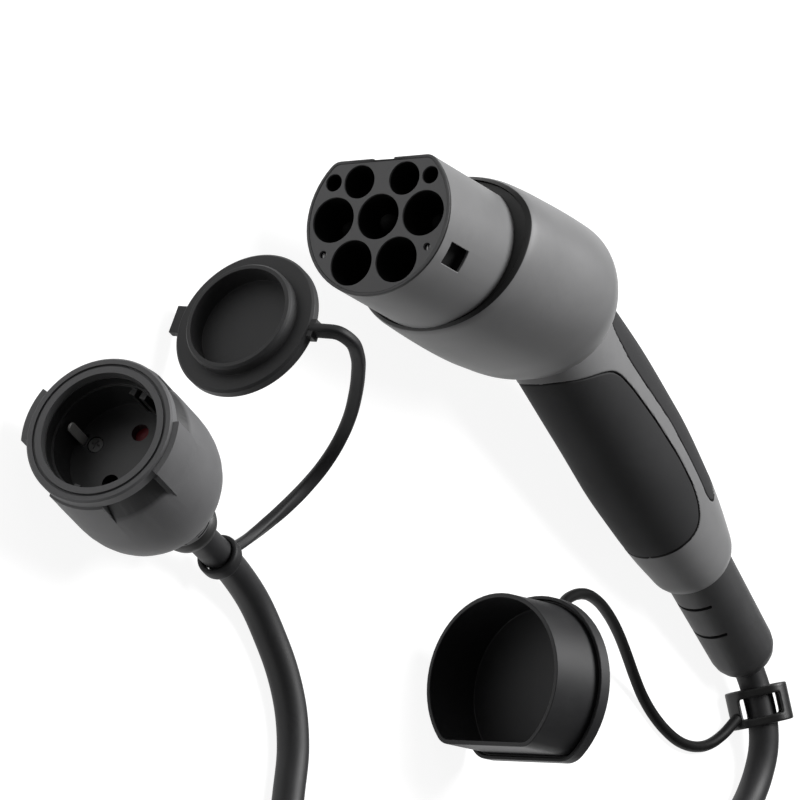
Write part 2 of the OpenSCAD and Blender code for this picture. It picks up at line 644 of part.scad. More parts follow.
module socket_insert() color([0.2, 0.2, 0.2]) on_socket() difference() {
    union() {
        turned_about_x([[lip_len + 0.05, recess_r + 0.7], [lip_len + 0.05, insert_out_r],
            [base_back, insert_out_r], [base_back, insert_out_r - 1.4], [face_back, insert_out_r - 1.4],
            [face_back, 0], [recess_deep, 0], [recess_deep, recess_r], [step_len, recess_r],
            [step_len, recess_r + 0.7]]);
        for (t = [0, 180])
            rotate([pin_turn + t, 0, 0]) intersection() {
                block(nose_top, recess_deep + 0.5, nose_w, recess_r - nose_stand, recess_r + 1);
                turned_about_x([[0, 0], [0, recess_r + 1], [30, recess_r + 1], [30, 0]]);
            }
    }
    for (t = [0, 180])
        rotate([pin_turn + t, 0, 0]) {
            rod([0, pin_pitch / 2], pin_hole_r, 0, 40);
            block(0, recess_deep - 0.6, nose_slot, recess_r - 3, recess_r + 0.2);
        }
    for (t = [90, 270])
        rotate([pin_turn + t, 0, 0]) block(recess_deep - 3, face_back + 1, 4.2, 16, recess_r + 0.4);
    rotate([pin_turn + 90, 0, 0]) {
        rod([0, 12.4], 2.8, 0, recess_deep + 1.4);
        rod([0, 12.4], 1.5, 0, 40);
    }
}

module insert_base() color([0.25, 0.25, 0.25]) on_socket() difference() {
    union() {
        turned_about_x([[base_front, 0], [base_front, insert_out_r - 1.4 - gap],
            [base_back, insert_out_r - 1.4 - gap], [base_back, 0]]);
        turned_about_x([[face_back + gap, 0], [face_back + gap, post_r], [base_front + 1, post_r],
            [base_front + 1, 0]]);
    }
    for (t = [0, 180])
        rotate([pin_turn + t, 0, 0]) rod([0, pin_pitch / 2], sleeve_r + sleeve_wall + 0.05, 0, 80);
    for (t = [90, 270])
        rotate([pin_turn + t, 0, 0]) block(base_front - 1, base_front + 8, 4.2, 16, 30);
    rotate([pin_turn + 90, 0, 0]) rod([0, 12.4], 1.4, 0, 40);
}

module earth_clip() color("silver") on_socket() for (t = [90, 270])
    rotate([pin_turn + t, 0, 0]) {
        block(recess_deep - clip_reach, base_front + 7, 3.2, recess_r - 1.9, recess_r - 1.1);
        translate([clip_reach - recess_deep, 0, recess_r - 1.9]) cylinder(r = 1.6, h = 0.8);
    }

module contact_sleeves() color("gold") on_socket() for (t = [0, 180])
    rotate([pin_turn + t, 0, 0]) difference() {
        rod([0, pin_pitch / 2], sleeve_r + sleeve_wall, base_front + 1, base_front + 1 + sleeve_len);
        rod([0, pin_pitch / 2], sleeve_r, base_front, base_front + sleeve_len);
    }

module pin_shutter() color("red") on_socket() difference() {
    union() {
        rod([0, 0], post_r + 2.4, shutter_front, shutter_front + shutter_thick);
        for (t = [0, 180])
            rotate([pin_turn + t, 0, 0]) intersection() {
                rod([0, 0], wing_r, shutter_front, shutter_front + shutter_thick);
                shutter_wing();
            }
    }
    rod([0, 0], post_r + 0.06, 0, 60);
}
module shutter_wing() translate([-40, 0, 0]) rotate([90, 0, 90]) linear_extrude(40)
    polygon([[0, 0], 30 * turned(90 + wing_half), 30 * turned(90), 30 * turned(90 - wing_half)]);
shutter_front = face_back + (shutter_room - shutter_thick) / 2;

module face_screw() color([0.3, 0.3, 0.3]) on_socket() rotate([pin_turn + 90, 0, 0]) difference() {
    union() {
        rod([0, 12.4], 2.6, recess_deep + 0.2, recess_deep + 1.4);
        rod([0, 12.4], 1.35, recess_deep + 1.3, 39);
    }
    for (a = [0, 90])
        translate([-recess_deep - 0.8, 0, 12.4]) rotate([a, 0, 0]) translate([0, -1.5, -0.3])
            cube([1, 3, 0.6]);
}

module clamp_ring() color([0.08, 0.08, 0.08]) on_socket() difference() {
    turned_about_x([[body_len + 0.05, 0], [body_len + 0.05, shoulder_r - 0.8], [body_len + 1.2, shoulder_r - 0.5],
        [relief_start - 1, relief_r + 2.2], [relief_start - 0.05, relief_r + 1], [relief_start - 0.05, 0]]);
    rod([0, 0], cable_bore, 0, 120);
}

module strain_relief() color("dimgray") on_socket() difference() {
    turned_about_x([[relief_start, 0], [relief_start, relief_r], [relief_start + 1.6, relief_r - 0.6],
        [relief_start + 12.4, 9.3], [relief_start + 13, 8.9], [relief_start + 14, 9.4],
        [relief_start + 16, 9.8], [relief_start + 18.2, 9.2], [relief_start + relief_len, 7.4],
        [relief_start + relief_len, 0]]);
    rod([0, 0], cable_bore, 0, 120);
    for (k = [0:3], i = [0:relief_slots - 1])
        rotate([lug_turn + 90 * k, 0, 0]) rotate([0, -90, 0]) rotate([0, 0, -33])
            translate([0, 0, relief_start + 2.4 + slot_step * i]) rotate_extrude(angle = 66)
            translate([8.3 - 0.3 * i, 0]) square([8, slot_step / 2]);
}

module socket_lid() color([0.15, 0.15, 0.15]) on_lid() difference() {
    union() {
        turned_about_x([[0, 0], [0, lid_r - 0.8], [0.8, lid_r], [lid_thick - 1.4, lid_r],
            [lid_thick, lid_r - 1.6], [lid_thick, 0]]);
        turned_about_x([[-lid_ring_h, 0], [-lid_ring_h, lid_ring_r - 0.7], [-lid_ring_h + 0.9, lid_ring_r],
            [0.1, lid_ring_r], [0.1, 0]]);
        rotate([lid_root_turn + 180, 0, 0]) block(0.6, 3.4, tab_w, lid_r - 2, lid_r + tab_reach);
        rotate([lid_root_turn, 0, 0]) block(0.6, 4.6, 6.4, lid_r - 2, lid_r + 1.6);
    }
    turned_about_x([[-lid_ring_h - 1, 0], [-lid_ring_h - 1, lid_ring_r - lid_ring_wall],
        [lid_thick - lid_floor, lid_ring_r - lid_ring_wall], [lid_thick - lid_floor, 0]]);
}

module lid_strap() color([0.12, 0.12, 0.12]) union() {
    translate(to_middle) tube_along(strap_route, strap_d / 2, 10);
    on_strap_ring() difference() {
        rotate([0, 90, 0]) cylinder(r = strap_ring_r, h = strap_ring_len, center = true);
        rotate([0, 90, 0]) cylinder(r = cable_bore, h = 20, center = true);
    }
}
module on_strap_ring() translate(to_middle + ring_mid)
    rotate([0, -asin(unit(ring_way)[2]), atan2(ring_way[1], ring_way[0])]) children();

// places on the floor
module on_plug() translate(to_middle + [0, 0, plug_high]) rotate([90 - plug_roll, -plug_pitch, 0]) children();
module on_socket() translate(to_middle + socket_at) rotate([0, -socket_tip, socket_turn]) children();
module on_cap() translate(to_middle + cap_at) rotate([0, -cap_tip, cap_turn]) rotate([-90 - cap_roll, 0, 0]) children();
module on_lid() translate(to_middle + lid_at) rotate([0, -lid_tip, lid_turn]) children();

plug_nose();
contact_insert();
pe_pin();
phase_pin();
neutral_pin();
pilot_pin();
proximity_pin();
pin_tips();
insert_screws();
ring_seal();
housing();
belly_grip();
back_grip();
cable_boot();
cord_clamp();
clamp_screws();
coding_board();
cable();
cap_clip();
cap_tether();
plug_cap();
socket_body();
socket_insert();
insert_base();
earth_clip();
contact_sleeves();
pin_shutter();
face_screw();
clamp_ring();
strain_relief();
socket_lid();
lid_strap();
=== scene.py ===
"""The looks of an adapter lead between a charging plug and a round household socket.

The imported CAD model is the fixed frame. Each operator below makes one piece or one group of like
pieces round it, in metres, and the panel lists them in the order in which they are made.
"""

import math
from functools import cache, partial

import bmesh
import bpy
import numpy as np
from mathutils import Matrix, Vector


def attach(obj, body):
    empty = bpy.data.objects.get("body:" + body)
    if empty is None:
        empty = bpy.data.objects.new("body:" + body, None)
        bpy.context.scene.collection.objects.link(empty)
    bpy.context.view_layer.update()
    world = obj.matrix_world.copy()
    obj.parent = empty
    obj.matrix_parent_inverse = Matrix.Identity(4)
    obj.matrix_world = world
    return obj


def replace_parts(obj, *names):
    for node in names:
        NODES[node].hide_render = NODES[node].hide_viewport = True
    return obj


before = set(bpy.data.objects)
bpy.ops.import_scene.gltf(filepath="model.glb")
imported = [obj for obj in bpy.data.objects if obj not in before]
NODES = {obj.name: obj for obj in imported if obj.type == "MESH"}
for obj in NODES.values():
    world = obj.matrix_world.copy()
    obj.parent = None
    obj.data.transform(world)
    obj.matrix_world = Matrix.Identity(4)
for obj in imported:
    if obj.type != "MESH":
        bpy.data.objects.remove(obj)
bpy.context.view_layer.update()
MM = 0.001

bl_info = {
    "name": "EV Charging Adapter",
    "version": (1, 0, 0),
    "blender": (4, 5, 0),
    "location": "3D View > Sidebar > Adapter",
    "description": "Builds the surfaces, cords and finishes of a charging adapter lead",
    "category": "Object",
}


# Places
X, Y, Z = range(3)


def turned(axis, degrees):
    """Matrix of a turn about one of the three axes."""
    c, s = math.cos(math.radians(degrees)), math.sin(math.radians(degrees))
    i, j = (axis + 1) % 3, (axis + 2) % 3
    matrix = np.eye(3)
    matrix[i, i], matrix[i, j] = c, -s
    matrix[j, i], matrix[j, j] = s, c
    return matrix


# the point that all places are measured from, in millimetres, then each piece's own frame: where its
# origin is and how it is turned
MIDDLE = np.array([69.6, -65.4, 0.0])
PLUG = (MIDDLE + [0, 0, 46.38], turned(Y, -5.66) @ turned(X, 84))
SOCKET = (MIDDLE + [132, 109.1, 34.6], turned(Z, -7.5) @ turned(Y, -14.5))
CAP = (MIDDLE + [-89.6, 136, 29.48], turned(Z, 4) @ turned(Y, 6.3) @ turned(X, -102))
LID = (MIDDLE + [50.5, 48.6, 29.62], turned(Z, -12.5) @ turned(Y, -7) @ turned(X, -12))
BACKWARD = np.array([-1.0, 0, 0])


def placed(place, points):
    """Points of a piece's own frame turned and moved into the row frame, both in millimetres."""
    return np.asarray(points, float) @ place[1].T + place[0]


# Sizes, colours and light
def length(name, default, text):
    """A length in metres that a user can change."""
    return bpy.props.FloatProperty(name=name, description=text, default=default, min=0,
                                   subtype="DISTANCE", unit="LENGTH")


def colour(name, default, text):
    """A colour that a user can change."""
    return bpy.props.FloatVectorProperty(name=name, description=text, default=default, size=3,
                                         min=0, max=1, subtype="COLOR")


def plain(name, default, text):
    """A plain number that a user can change."""
    return bpy.props.FloatProperty(name=name, description=text, default=default, min=0)


class AdapterSizes(bpy.types.PropertyGroup):
    """Sizes that a user can change"""

    cable_diameter: length("Cable diameter", 0.0108, "Outer diameter of the charging cable")
    tether_diameter: length("Tether diameter", 0.004, "Diameter of the dust cap's round tether")
    strap_width: length("Strap width", 0.0046, "Width of the lid's moulded strap")
    strap_thickness: length("Strap thickness", 0.0038, "Thickness of the lid's moulded strap")
    crisp_edge: length("Crisp edge", 0.00025, "Rounding of the edges of hard mouldings")
    soft_edge: length("Soft edge", 0.0005, "Rounding of the edges of rubber mouldings")
    small_edge: length("Small edge", 0.00012, "Rounding of the edges of small metal pieces")
    seam_width: length("Seam width", 0.0003, "Gap between a soft grip and the handle")
    seam_depth: length("Seam depth", 0.0017, "Depth of the recess that a grip lies in")
    # painted shade: the handle is painted black up to this far outside a grip's edge, for the shade in the
    # gap between grip and handle
    seam_shade: length("Seam shade", 0.0004, "How far the dark of the seam reaches outside the grip's edge")
    grip_roll: length("Grip roll", 0.0006, "Radius of the rolled edge of a grip")


class AdapterColours(bpy.types.PropertyGroup):
    """Colours that a user can change"""

    housing: colour("Housing", (0.165, 0.165, 0.167), "Satin grey of the head, the handle and the nose")
    insert: colour("Contact insert", (0.105, 0.105, 0.107), "Dark grey of the plug's face")
    grip: colour("Grip", (0.026, 0.026, 0.027), "Soft dark grey of the grips")
    boot: colour("Boot", (0.029, 0.029, 0.030), "Dark grey of the cable boot")
    cable: colour("Cable", (0.015, 0.015, 0.016), "Near black of the cable's sheath")
    tether: colour("Tether", (0.005, 0.005, 0.005), "Black of the tether and its clip")
    cap: colour("Dust cap", (0.015, 0.015, 0.016), "Black rubber of the dust cap")
    socket_body: colour("Socket body", (0.115, 0.115, 0.118), "Grey rubber of the socket's outer body")
    socket_face: colour("Socket face", (0.022, 0.022, 0.023), "Black of the socket's insert")
    lid: colour("Lid", (0.034, 0.034, 0.035), "Dark rubber of the lid")
    strap: colour("Strap", (0.014, 0.014, 0.015), "Near black of the lid's strap")
    relief: colour("Strain relief", (0.105, 0.105, 0.107), "Light grey of the slotted strain relief")
    # painted shade: a dark colour laid on the floor of the socket body's grip pockets, for the shade in these
    # recesses
    pocket_shade: colour("Pocket", (0.022, 0.022, 0.023), "Dark floor of the socket body's grip pockets")
    # painted shade: this black stands for the shade in the contact holes, on the pin tips in them, along the
    # handle's grip seams and along the barrel's front edge; it is also the real black of the sealing ring and
    # of the head's rim round it
    hollow: colour("Hollow", (0.003, 0.003, 0.003), "Black of deep holes and of the sealing ring")
    shutter: colour("Shutter", (0.22, 0.012, 0.02), "Red of the pin shutter")


class AdapterLight(bpy.types.PropertyGroup):
    """Light that a user can change"""

    key: plain("Key light", 36.0, "Power of the large soft light to the right, in watts")
    fill: plain("Fill light", 5.6, "Power of the light from above, in watts")
    world: plain("World light", 0.16, "Strength of the even light all round")
    floor_tone: plain("Floor tone", 0.25, "Share of light that the floor throws back on the pieces")
    floor_white: plain("Floor white", 0.9, "Light that the floor adds for the camera and in reflections")


def colours():
    """The colours that are set now."""
    return bpy.context.scene.adapter_colours


def sizes():
    """The sizes that are set now."""
    return bpy.context.scene.adapter_sizes


# Meshes
# merging distances of a CAD node's triangles and of a grip's closed ends, in metres
WELD, GRIP_WELD = 2e-6, 4e-6
# angles in degrees: faces flatter to each other than the first are joined, edges over the second are
# rounded, and edges over the third are shaded sharp before that
FLAT_WITHIN, ROUNDED_OVER, SHARP_OVER = 0.4, 28.0, 38.0
EDGE_SEGMENTS = 2
# angles over which an edge of a new piece is shaded sharp, for soft shapes and for shapes with a rim
SOFT_ANGLE, RIM_ANGLE = 60, 50


def dressed(name, mesh, look, body="adapter"):
    """Gives a mesh its finish and puts it on a body as a piece."""
    mesh.materials.clear()
    mesh.materials.append(finish(look))
    piece = bpy.data.objects.new(name, mesh)
    bpy.context.scene.collection.objects.link(piece)
    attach(piece, body)
    return piece


def smoothed(mesh, angle):
    """Shades a mesh smooth, apart from edges over an angle in degrees."""
    mesh.polygons.foreach_set("use_smooth", np.ones(len(mesh.polygons), bool))
    mesh.set_sharp_from_angle(angle=math.radians(angle))
    return mesh


def new_piece(name, vertices, faces, look, angle, uv=None):
    """Puts whole arrays of vertices, in metres, and of faces into a mesh piece."""
    mesh = bpy.data.meshes.new(name)
    mesh.from_pydata(np.asarray(vertices, float).tolist(), [], [list(f) for f in faces])
    if uv is not None:
        layer = mesh.uv_layers.new(name="run")
        layer.data.foreach_set("uv", np.asarray(uv, np.float32).ravel())
    mesh.update()
    return dressed(name, smoothed(mesh, angle), look)


def applied(obj):
    """The mesh that an object's modifiers make of it; the object itself is removed."""
    deps = bpy.context.evaluated_depsgraph_get()
    done = bpy.data.meshes.new_from_object(obj.evaluated_get(deps), preserve_all_data_layers=True,
                                           depsgraph=deps)
    bpy.data.objects.remove(obj)
    return done


def softened(node, name, edge, look, body="adapter"):
    """A copy of a CAD node, with its triangles merged and its edges rounded, that stands for the node."""
    mesh = NODES[node].data.copy()
    mesh.name = name
    bm = bmesh.new()
    bm.from_mesh(mesh)
    bmesh.ops.remove_doubles(bm, verts=bm.verts, dist=WELD)
    bmesh.ops.dissolve_limit(bm, angle_limit=math.radians(FLAT_WITHIN), verts=bm.verts, edges=bm.edges)
    bm.to_mesh(mesh)
    bm.free()
    for layer in list(mesh.uv_layers):
        mesh.uv_layers.remove(layer)
    obj = bpy.data.objects.new(name, smoothed(mesh, SHARP_OVER))
    bpy.context.scene.collection.objects.link(obj)
    rounding = obj.modifiers.new("rounding", "BEVEL")
    rounding.width, rounding.segments = getattr(sizes(), edge), EDGE_SEGMENTS
    rounding.limit_method, rounding.angle_limit = "ANGLE", math.radians(ROUNDED_OVER)
    rounding.use_clamp_overlap = True
    rounding.miter_outer = "MITER_ARC"
    obj.modifiers.new("shading", "WEIGHTED_NORMAL").keep_sharp = True
    done = applied(obj)
    done.name = name
    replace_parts(dressed(name, done, look, body), node)


def grid_faces(rows, columns, closed=True):
    """Four-sided faces between neighbouring rows of a grid whose columns close on themselves or not."""
    i = np.arange(rows - 1)[:, None]
    j = np.arange(columns if closed else columns - 1)[None, :]
    k = (j + 1) % columns
    row, ahead = i * columns, (i + 1) * columns
    return np.stack([row + j, row + k, ahead + k, ahead + j], axis=-1).reshape(-1, 4)


def closed_skin(rings):
    """Vertices and faces of a skin through rings of equal length, closed by a fan at each end."""
    rows, columns, _ = rings.shape
    vertices = np.concatenate([rings.reshape(-1, 3), rings[:1].mean(axis=1), rings[-1:].mean(axis=1)])
    j = np.arange(columns)
    k = (j + 1) % columns
    first = np.stack([k, j, np.full(columns, rows * columns)], axis=1)
    base = (rows - 1) * columns
    last = np.stack([base + j, base + k, np.full(columns, rows * columns + 1)], axis=1)
    return vertices, grid_faces(rows, columns).tolist() + first.tolist() + last.tolist()


def cubic(start, end, slope_start, slope_end, h, t):
    """The cubic between two values with two given slopes, on a span of length h, at the share t of it."""
    return (start * (1 + 2 * t) * (1 - t) ** 2 + slope_start * h * t * (1 - t) ** 2
            + end * t * t * (3 - 2 * t) + slope_end * h * t * t * (t - 1))


def monotone(x, y, at):
    """Cubics through (x, y) without overshoot: a knot's slope is a harmonic mean of those beside it."""
    x, y, at = (np.asarray(a, float) for a in (x, y, at))
    h, d = np.diff(x), np.diff(y) / np.diff(x)
    m = np.zeros(len(x))
    both = d[:-1] * d[1:] > 0
    w1, w2 = 2 * h[1:] + h[:-1], h[1:] + 2 * h[:-1]
    safe0, safe1 = np.where(both, d[:-1], 1.0), np.where(both, d[1:], 1.0)
    m[1:-1] = np.where(both, (w1 + w2) / (w1 / safe0 + w2 / safe1), 0.0)
    m[0], m[-1] = d[0], d[-1]
    i = np.clip(np.searchsorted(x, at, side="right") - 1, 0, len(h) - 1)
    return cubic(y[i], y[i + 1], m[i], m[i + 1], h[i], (at - x[i]) / h[i])


def smooth_path(points, step):
    """Cubics through points, about a step apart: a slope is the chords' mean, the shorter weighing more."""
    p = np.asarray(points, float)
    d = np.linalg.norm(np.diff(p, axis=0), axis=1)
    slope = np.diff(p, axis=0) / d[:, None]
    m = np.empty_like(p)
    m[1:-1] = (slope[:-1] * d[1:, None] + slope[1:] * d[:-1, None]) / (d[:-1] + d[1:])[:, None]
    m[0], m[-1] = slope[0], slope[-1]
    knots = np.concatenate([[0], np.cumsum(d)])
    at = np.linspace(0, knots[-1], int(knots[-1] / step) + 2)
    i = np.clip(np.searchsorted(knots, at, side="right") - 1, 0, len(d) - 1)
    h = d[i][:, None]
    return cubic(p[i], p[i + 1], m[i], m[i + 1], h, (at - knots[i])[:, None] / h)


def steps_of(path):
    """Distances between neighbouring points of a path."""
    return np.linalg.norm(np.diff(path, axis=0), axis=1)


def raised(values, power):
    """Numbers raised to a power with their signs kept. On a cosine and a sine it gives a superellipse."""
    return np.sign(values) * np.abs(values) ** power


def tube(path, half_wide, half_thick, square, sides, up):
    """Rings of a superellipse, |x/a|^n + |y/b|^n = 1, square to a path; x lies along the tangent x up."""
    along = np.gradient(path, axis=0)
    along /= np.linalg.norm(along, axis=1)[:, None]
    side = np.cross(along, np.asarray(up, float))
    side /= np.linalg.norm(side, axis=1)[:, None]
    top = np.cross(side, along)
    a = np.linspace(0, 2 * math.pi, sides, endpoint=False)
    x = half_wide * raised(np.cos(a), 2 / square)
    y = half_thick * raised(np.sin(a), 2 / square)
    return path[:, None, :] + side[:, None, :] * x[None, :, None] + top[:, None, :] * y[None, :, None]


def tube_uv(path, sides):
    """A map for a tube's faces: across is the share of the way round, along is the distance in metres."""
    run = np.concatenate([[0], np.cumsum(steps_of(path))]) * MM
    i, j = np.divmod(np.arange((len(path) - 1) * sides), sides)
    across = np.stack([j, j + 1, j + 1, j], axis=1) / sides
    skin = np.stack([across, np.stack([run[i], run[i], run[i + 1], run[i + 1]], axis=1)], axis=-1)
    ends = [np.tile([0.5, end], (3 * sides, 1)) for end in (run[0], run[-1])]
    return np.concatenate([skin.reshape(-1, 2), *ends])


def nearest(points, line, batch=2000):
    """Distance from each point to the nearest point of a line, worked out a batch of points at a time."""
    flat = points.reshape(-1, 3)
    gap = np.empty(len(flat))
    for i in range(0, len(flat), batch):
        away = flat[i:i + batch, None, :] - line[None, :, :]
        gap[i:i + batch] = np.linalg.norm(away, axis=2).min(axis=1)
    return gap.reshape(points.shape[:-1])


def finer(line, times=8):
    """The points of a line with more points evenly between each two of them."""
    rows = np.arange(len(line))
    at = np.linspace(0, len(line) - 1, (len(line) - 1) * times + 1)
    return np.stack([np.interp(at, rows, line[:, k]) for k in range(3)], axis=1)


# Finishes
# one on a row: colour, roughness, gloss and metal, then the grain's size and depth and the patches' size
# in metres, the spread of the tone and the amount of handling marks
HOUSING_LOOK = ("housing", 0.45, 0.32, 0.0, 0.00035, 0.000012, 0.04, 0.05, 0.4)
FINISHES = {
    "head moulding": HOUSING_LOOK,
    "handle moulding": HOUSING_LOOK,
    "nose moulding": HOUSING_LOOK,
    "soft grip rubber": ("grip", 0.68, 0.2, 0.0, 0.00025, 0.00002, 0.03, 0.08, 0.4),
    "lid rubber": ("lid", 0.55, 0.3, 0.0, 0.0005, 0.00002, 0.03, 0.08, 0.5),
    "strap rubber": ("strap", 0.55, 0.25, 0.0, 0.0005, 0.00002, 0.03, 0.08, 0.5),
    "cable sheath": ("cable", 0.5, 0.35, 0.0, 0.0012, 0.00003, 0.05, 0.10, 0.8),
    "tether rubber": ("tether", 0.5, 0.12, 0.0, 0.0008, 0.00002, 0.03, 0.10, 0.6),
    "clip rubber": ("tether", 0.4, 0.45, 0.0, 0.0004, 0.00002, 0.02, 0.10, 0.5),
    "cap rubber": ("cap", 0.5, 0.32, 0.0, 0.0004, 0.000015, 0.03, 0.10, 0.6),
    "insert moulding": ("insert", 0.5, 0.5, 0.0, 0.0003, 0.000015, 0.03, 0.06, 0.4),
    "seal rubber": ("hollow", 0.6, 0.5, 0.0, 0.0003, 0.00002, 0.02, 0.1, 0.3),
    # painted shade: the pin tips take the black and low gloss of the shade in the holes that they sit in
    "tip moulding": ("hollow", 0.8, 0.08, 0.0, 0.0003, 0.00001, 0.01, 0.08, 0.3),
    "boot rubber": ("boot", 0.5, 0.5, 0.0, 0.0003, 0.00002, 0.03, 0.08, 0.5),
    "inner moulding": ((0.06, 0.06, 0.06), 0.5, 0.5, 0.0, 0.0003, 0.00002, 0.02, 0.08, 0.3),
    "board laminate": ((0.012, 0.08, 0.03), 0.35, 0.5, 0.0, 0.0004, 0.00001, 0.01, 0.12, 0.3),
    "socket rubber": ("socket_body", 0.55, 0.5, 0.0, 0.0004, 0.00003, 0.03, 0.08, 0.6),
    "socket face moulding": ("socket_face", 0.38, 0.5, 0.0, 0.0003, 0.00001, 0.02, 0.08, 0.5),
    "relief moulding": ("relief", 0.5, 0.5, 0.0, 0.0004, 0.00002, 0.03, 0.06, 0.5),
    "shutter red": ("shutter", 0.4, 0.5, 0.0, 0.0003, 0.00001, 0.01, 0.08, 0.3),
    "turned contact metal": ((0.62, 0.61, 0.58), 0.30, 0.5, 1.0, 0.0002, 0.000006, 0.01, 0.06, 0.6),
    "screw steel": ((0.42, 0.42, 0.42), 0.34, 0.5, 1.0, 0.0002, 0.000006, 0.01, 0.08, 0.6),
    "dark screw": ((0.16, 0.16, 0.16), 0.35, 0.5, 1.0, 0.0002, 0.000006, 0.01, 0.08, 0.6),
    "spring metal": ((0.86, 0.85, 0.83), 0.42, 0.5, 0.55, 0.0003, 0.000004, 0.01, 0.05, 0.6),
    "sleeve brass": ((0.66, 0.47, 0.2), 0.3, 0.5, 1.0, 0.0003, 0.000006, 0.01, 0.08, 0.6),
}
# finishes whose grain is drawn out along the piece's own map, and by how much
DRAWN_OUT = ("cable sheath", "tether rubber")
DRAWN_SCALE = (0.03, 1.0, 1.0)
# where the tone's ramp starts and ends, and how far tone and rubbing change the roughness
RAMP_START, RAMP_END = 0.3, 0.7
TONE_ROUGH, RUB_ROUGH = 0.16, 0.12
# how much of a rubbed mark shows, and how much lighter it is, by a sum and a factor
RUB_SHARE, RUB_LIFT, RUB_GAIN = 0.35, 0.02, 1.25
# tone: how much finer its second noise is, and the share of the first
TONE_FINER, TONE_WIDE = 7.3, 0.6
# marks: how much finer the streaks are than their patches and how narrow, then the noise at which a patch
# starts and how fast it fills
STREAK_FINER, STREAK_NARROW, PATCH_FROM, PATCH_FILL = 5.1, 9.0, 0.45, 4.0
# how steep the edges of the masks are, per metre
LIMIT_STEEP, POCKET_STEEP, DEPTH_STEEP = 9000.0, 1600.0, 4000.0
# colour sockets of a Mix node, which share their names with its other sockets
MIX_UNDER, MIX_OVER, MIX_RESULT = 6, 7, 2


def new_group(name, vectors, numbers, outputs):
    """An empty shader node group with named sockets: its tree, what goes in and what comes out."""
    tree = bpy.data.node_groups.new(name, "ShaderNodeTree")
    for labels, way, kind in ((vectors, "INPUT", "NodeSocketVector"), (numbers, "INPUT", "NodeSocketFloat"),
                              (outputs, "OUTPUT", "NodeSocketFloat")):
        for label in labels:
            tree.interface.new_socket(name=label, in_out=way, socket_type=kind)
    return tree, tree.nodes.new("NodeGroupInput").outputs, tree.nodes.new("NodeGroupOutput").inputs


def math_node(tree, operation, a, b=None, clamp=False):
    """The result of a Math node whose inputs are numbers or sockets."""
    node = tree.nodes.new("ShaderNodeMath")
    node.operation, node.use_clamp = operation, clamp
    for socket, value in zip(node.inputs, (a, b)):
        if value is None:
            continue
        if isinstance(value, (int, float)):
            socket.default_value = value
        else:
            tree.links.new(value, socket)
    return node.outputs[0]


def noise(tree, vector, scale, detail, rough, distortion=0.0):
    """The result of a Noise Texture node whose place and scale are sockets."""
    node = tree.nodes.new("ShaderNodeTexNoise")
    tree.links.new(vector, node.inputs["Vector"])
    tree.links.new(scale, node.inputs["Scale"])
    for name, value in (("Detail", detail), ("Roughness", rough), ("Distortion", distortion)):
        node.inputs[name].default_value = value
    return node.outputs["Fac"]


def grain_group(name):
    """Moulded grain: fine noise for the height, and two slow noises added for the tone."""
    tree, given, result = new_group(name, ("Vector",), ("Size", "Patches"), ("Height", "Tone"))
    sums, place = partial(math_node, tree), given["Vector"]
    fine = sums("DIVIDE", 1.0, given["Size"])
    slow = sums("DIVIDE", 1.0, given["Patches"])
    tree.links.new(noise(tree, place, fine, detail=4.0, rough=0.6), result["Height"])
    wide = noise(tree, place, slow, detail=2.0, rough=0.5)
    narrow = noise(tree, place, sums("MULTIPLY", slow, TONE_FINER), detail=3.0, rough=0.6)
    both = sums("ADD", sums("MULTIPLY", wide, TONE_WIDE), sums("MULTIPLY", narrow, 1 - TONE_WIDE))
    tree.links.new(both, result["Tone"])
    return tree


def marks_group(name):
    """Handling marks: streaks where a warped noise is near its middle, kept to patches of a second noise."""
    tree, given, result = new_group(name, ("Vector",), ("Size", "Amount"), ("Mask",))
    sums, place = partial(math_node, tree), given["Vector"]
    scale = sums("DIVIDE", 1.0, given["Size"])
    cloud = noise(tree, place, scale, detail=5.0, rough=0.62, distortion=0.8)
    finer_scale = sums("MULTIPLY", scale, STREAK_FINER)
    streak = noise(tree, place, finer_scale, detail=6.0, rough=0.7, distortion=1.6)
    off_middle = sums("ABSOLUTE", sums("SUBTRACT", streak, 0.5))
    band = sums("SUBTRACT", 1.0, sums("MULTIPLY", off_middle, STREAK_NARROW), clamp=True)
    patch = sums("MULTIPLY", sums("SUBTRACT", cloud, PATCH_FROM, clamp=True), PATCH_FILL, clamp=True)
    tree.links.new(sums("MULTIPLY", sums("MULTIPLY", band, patch), given["Amount"]), result["Mask"])
    return tree


def vector_node(tree, operation, a, b):
    """A Vector Math node whose inputs are sockets."""
    node = tree.nodes.new("ShaderNodeVectorMath")
    node.operation = operation
    tree.links.new(a, node.inputs[0])
    tree.links.new(b, node.inputs[1])
    return node.outputs


def past_group(name):
    """Past a limit: the dot product of a place with an axis, less a limit, made steep and clamped."""
    tree, given, result = new_group(name, ("Vector", "Axis"), ("Limit",), ("Mask",))
    sums = partial(math_node, tree)
    dot = vector_node(tree, "DOT_PRODUCT", given["Vector"], given["Axis"])["Value"]
    beyond = sums("SUBTRACT", dot, given["Limit"])
    tree.links.new(sums("MULTIPLY", beyond, LIMIT_STEEP, clamp=True), result["Mask"])
    return tree


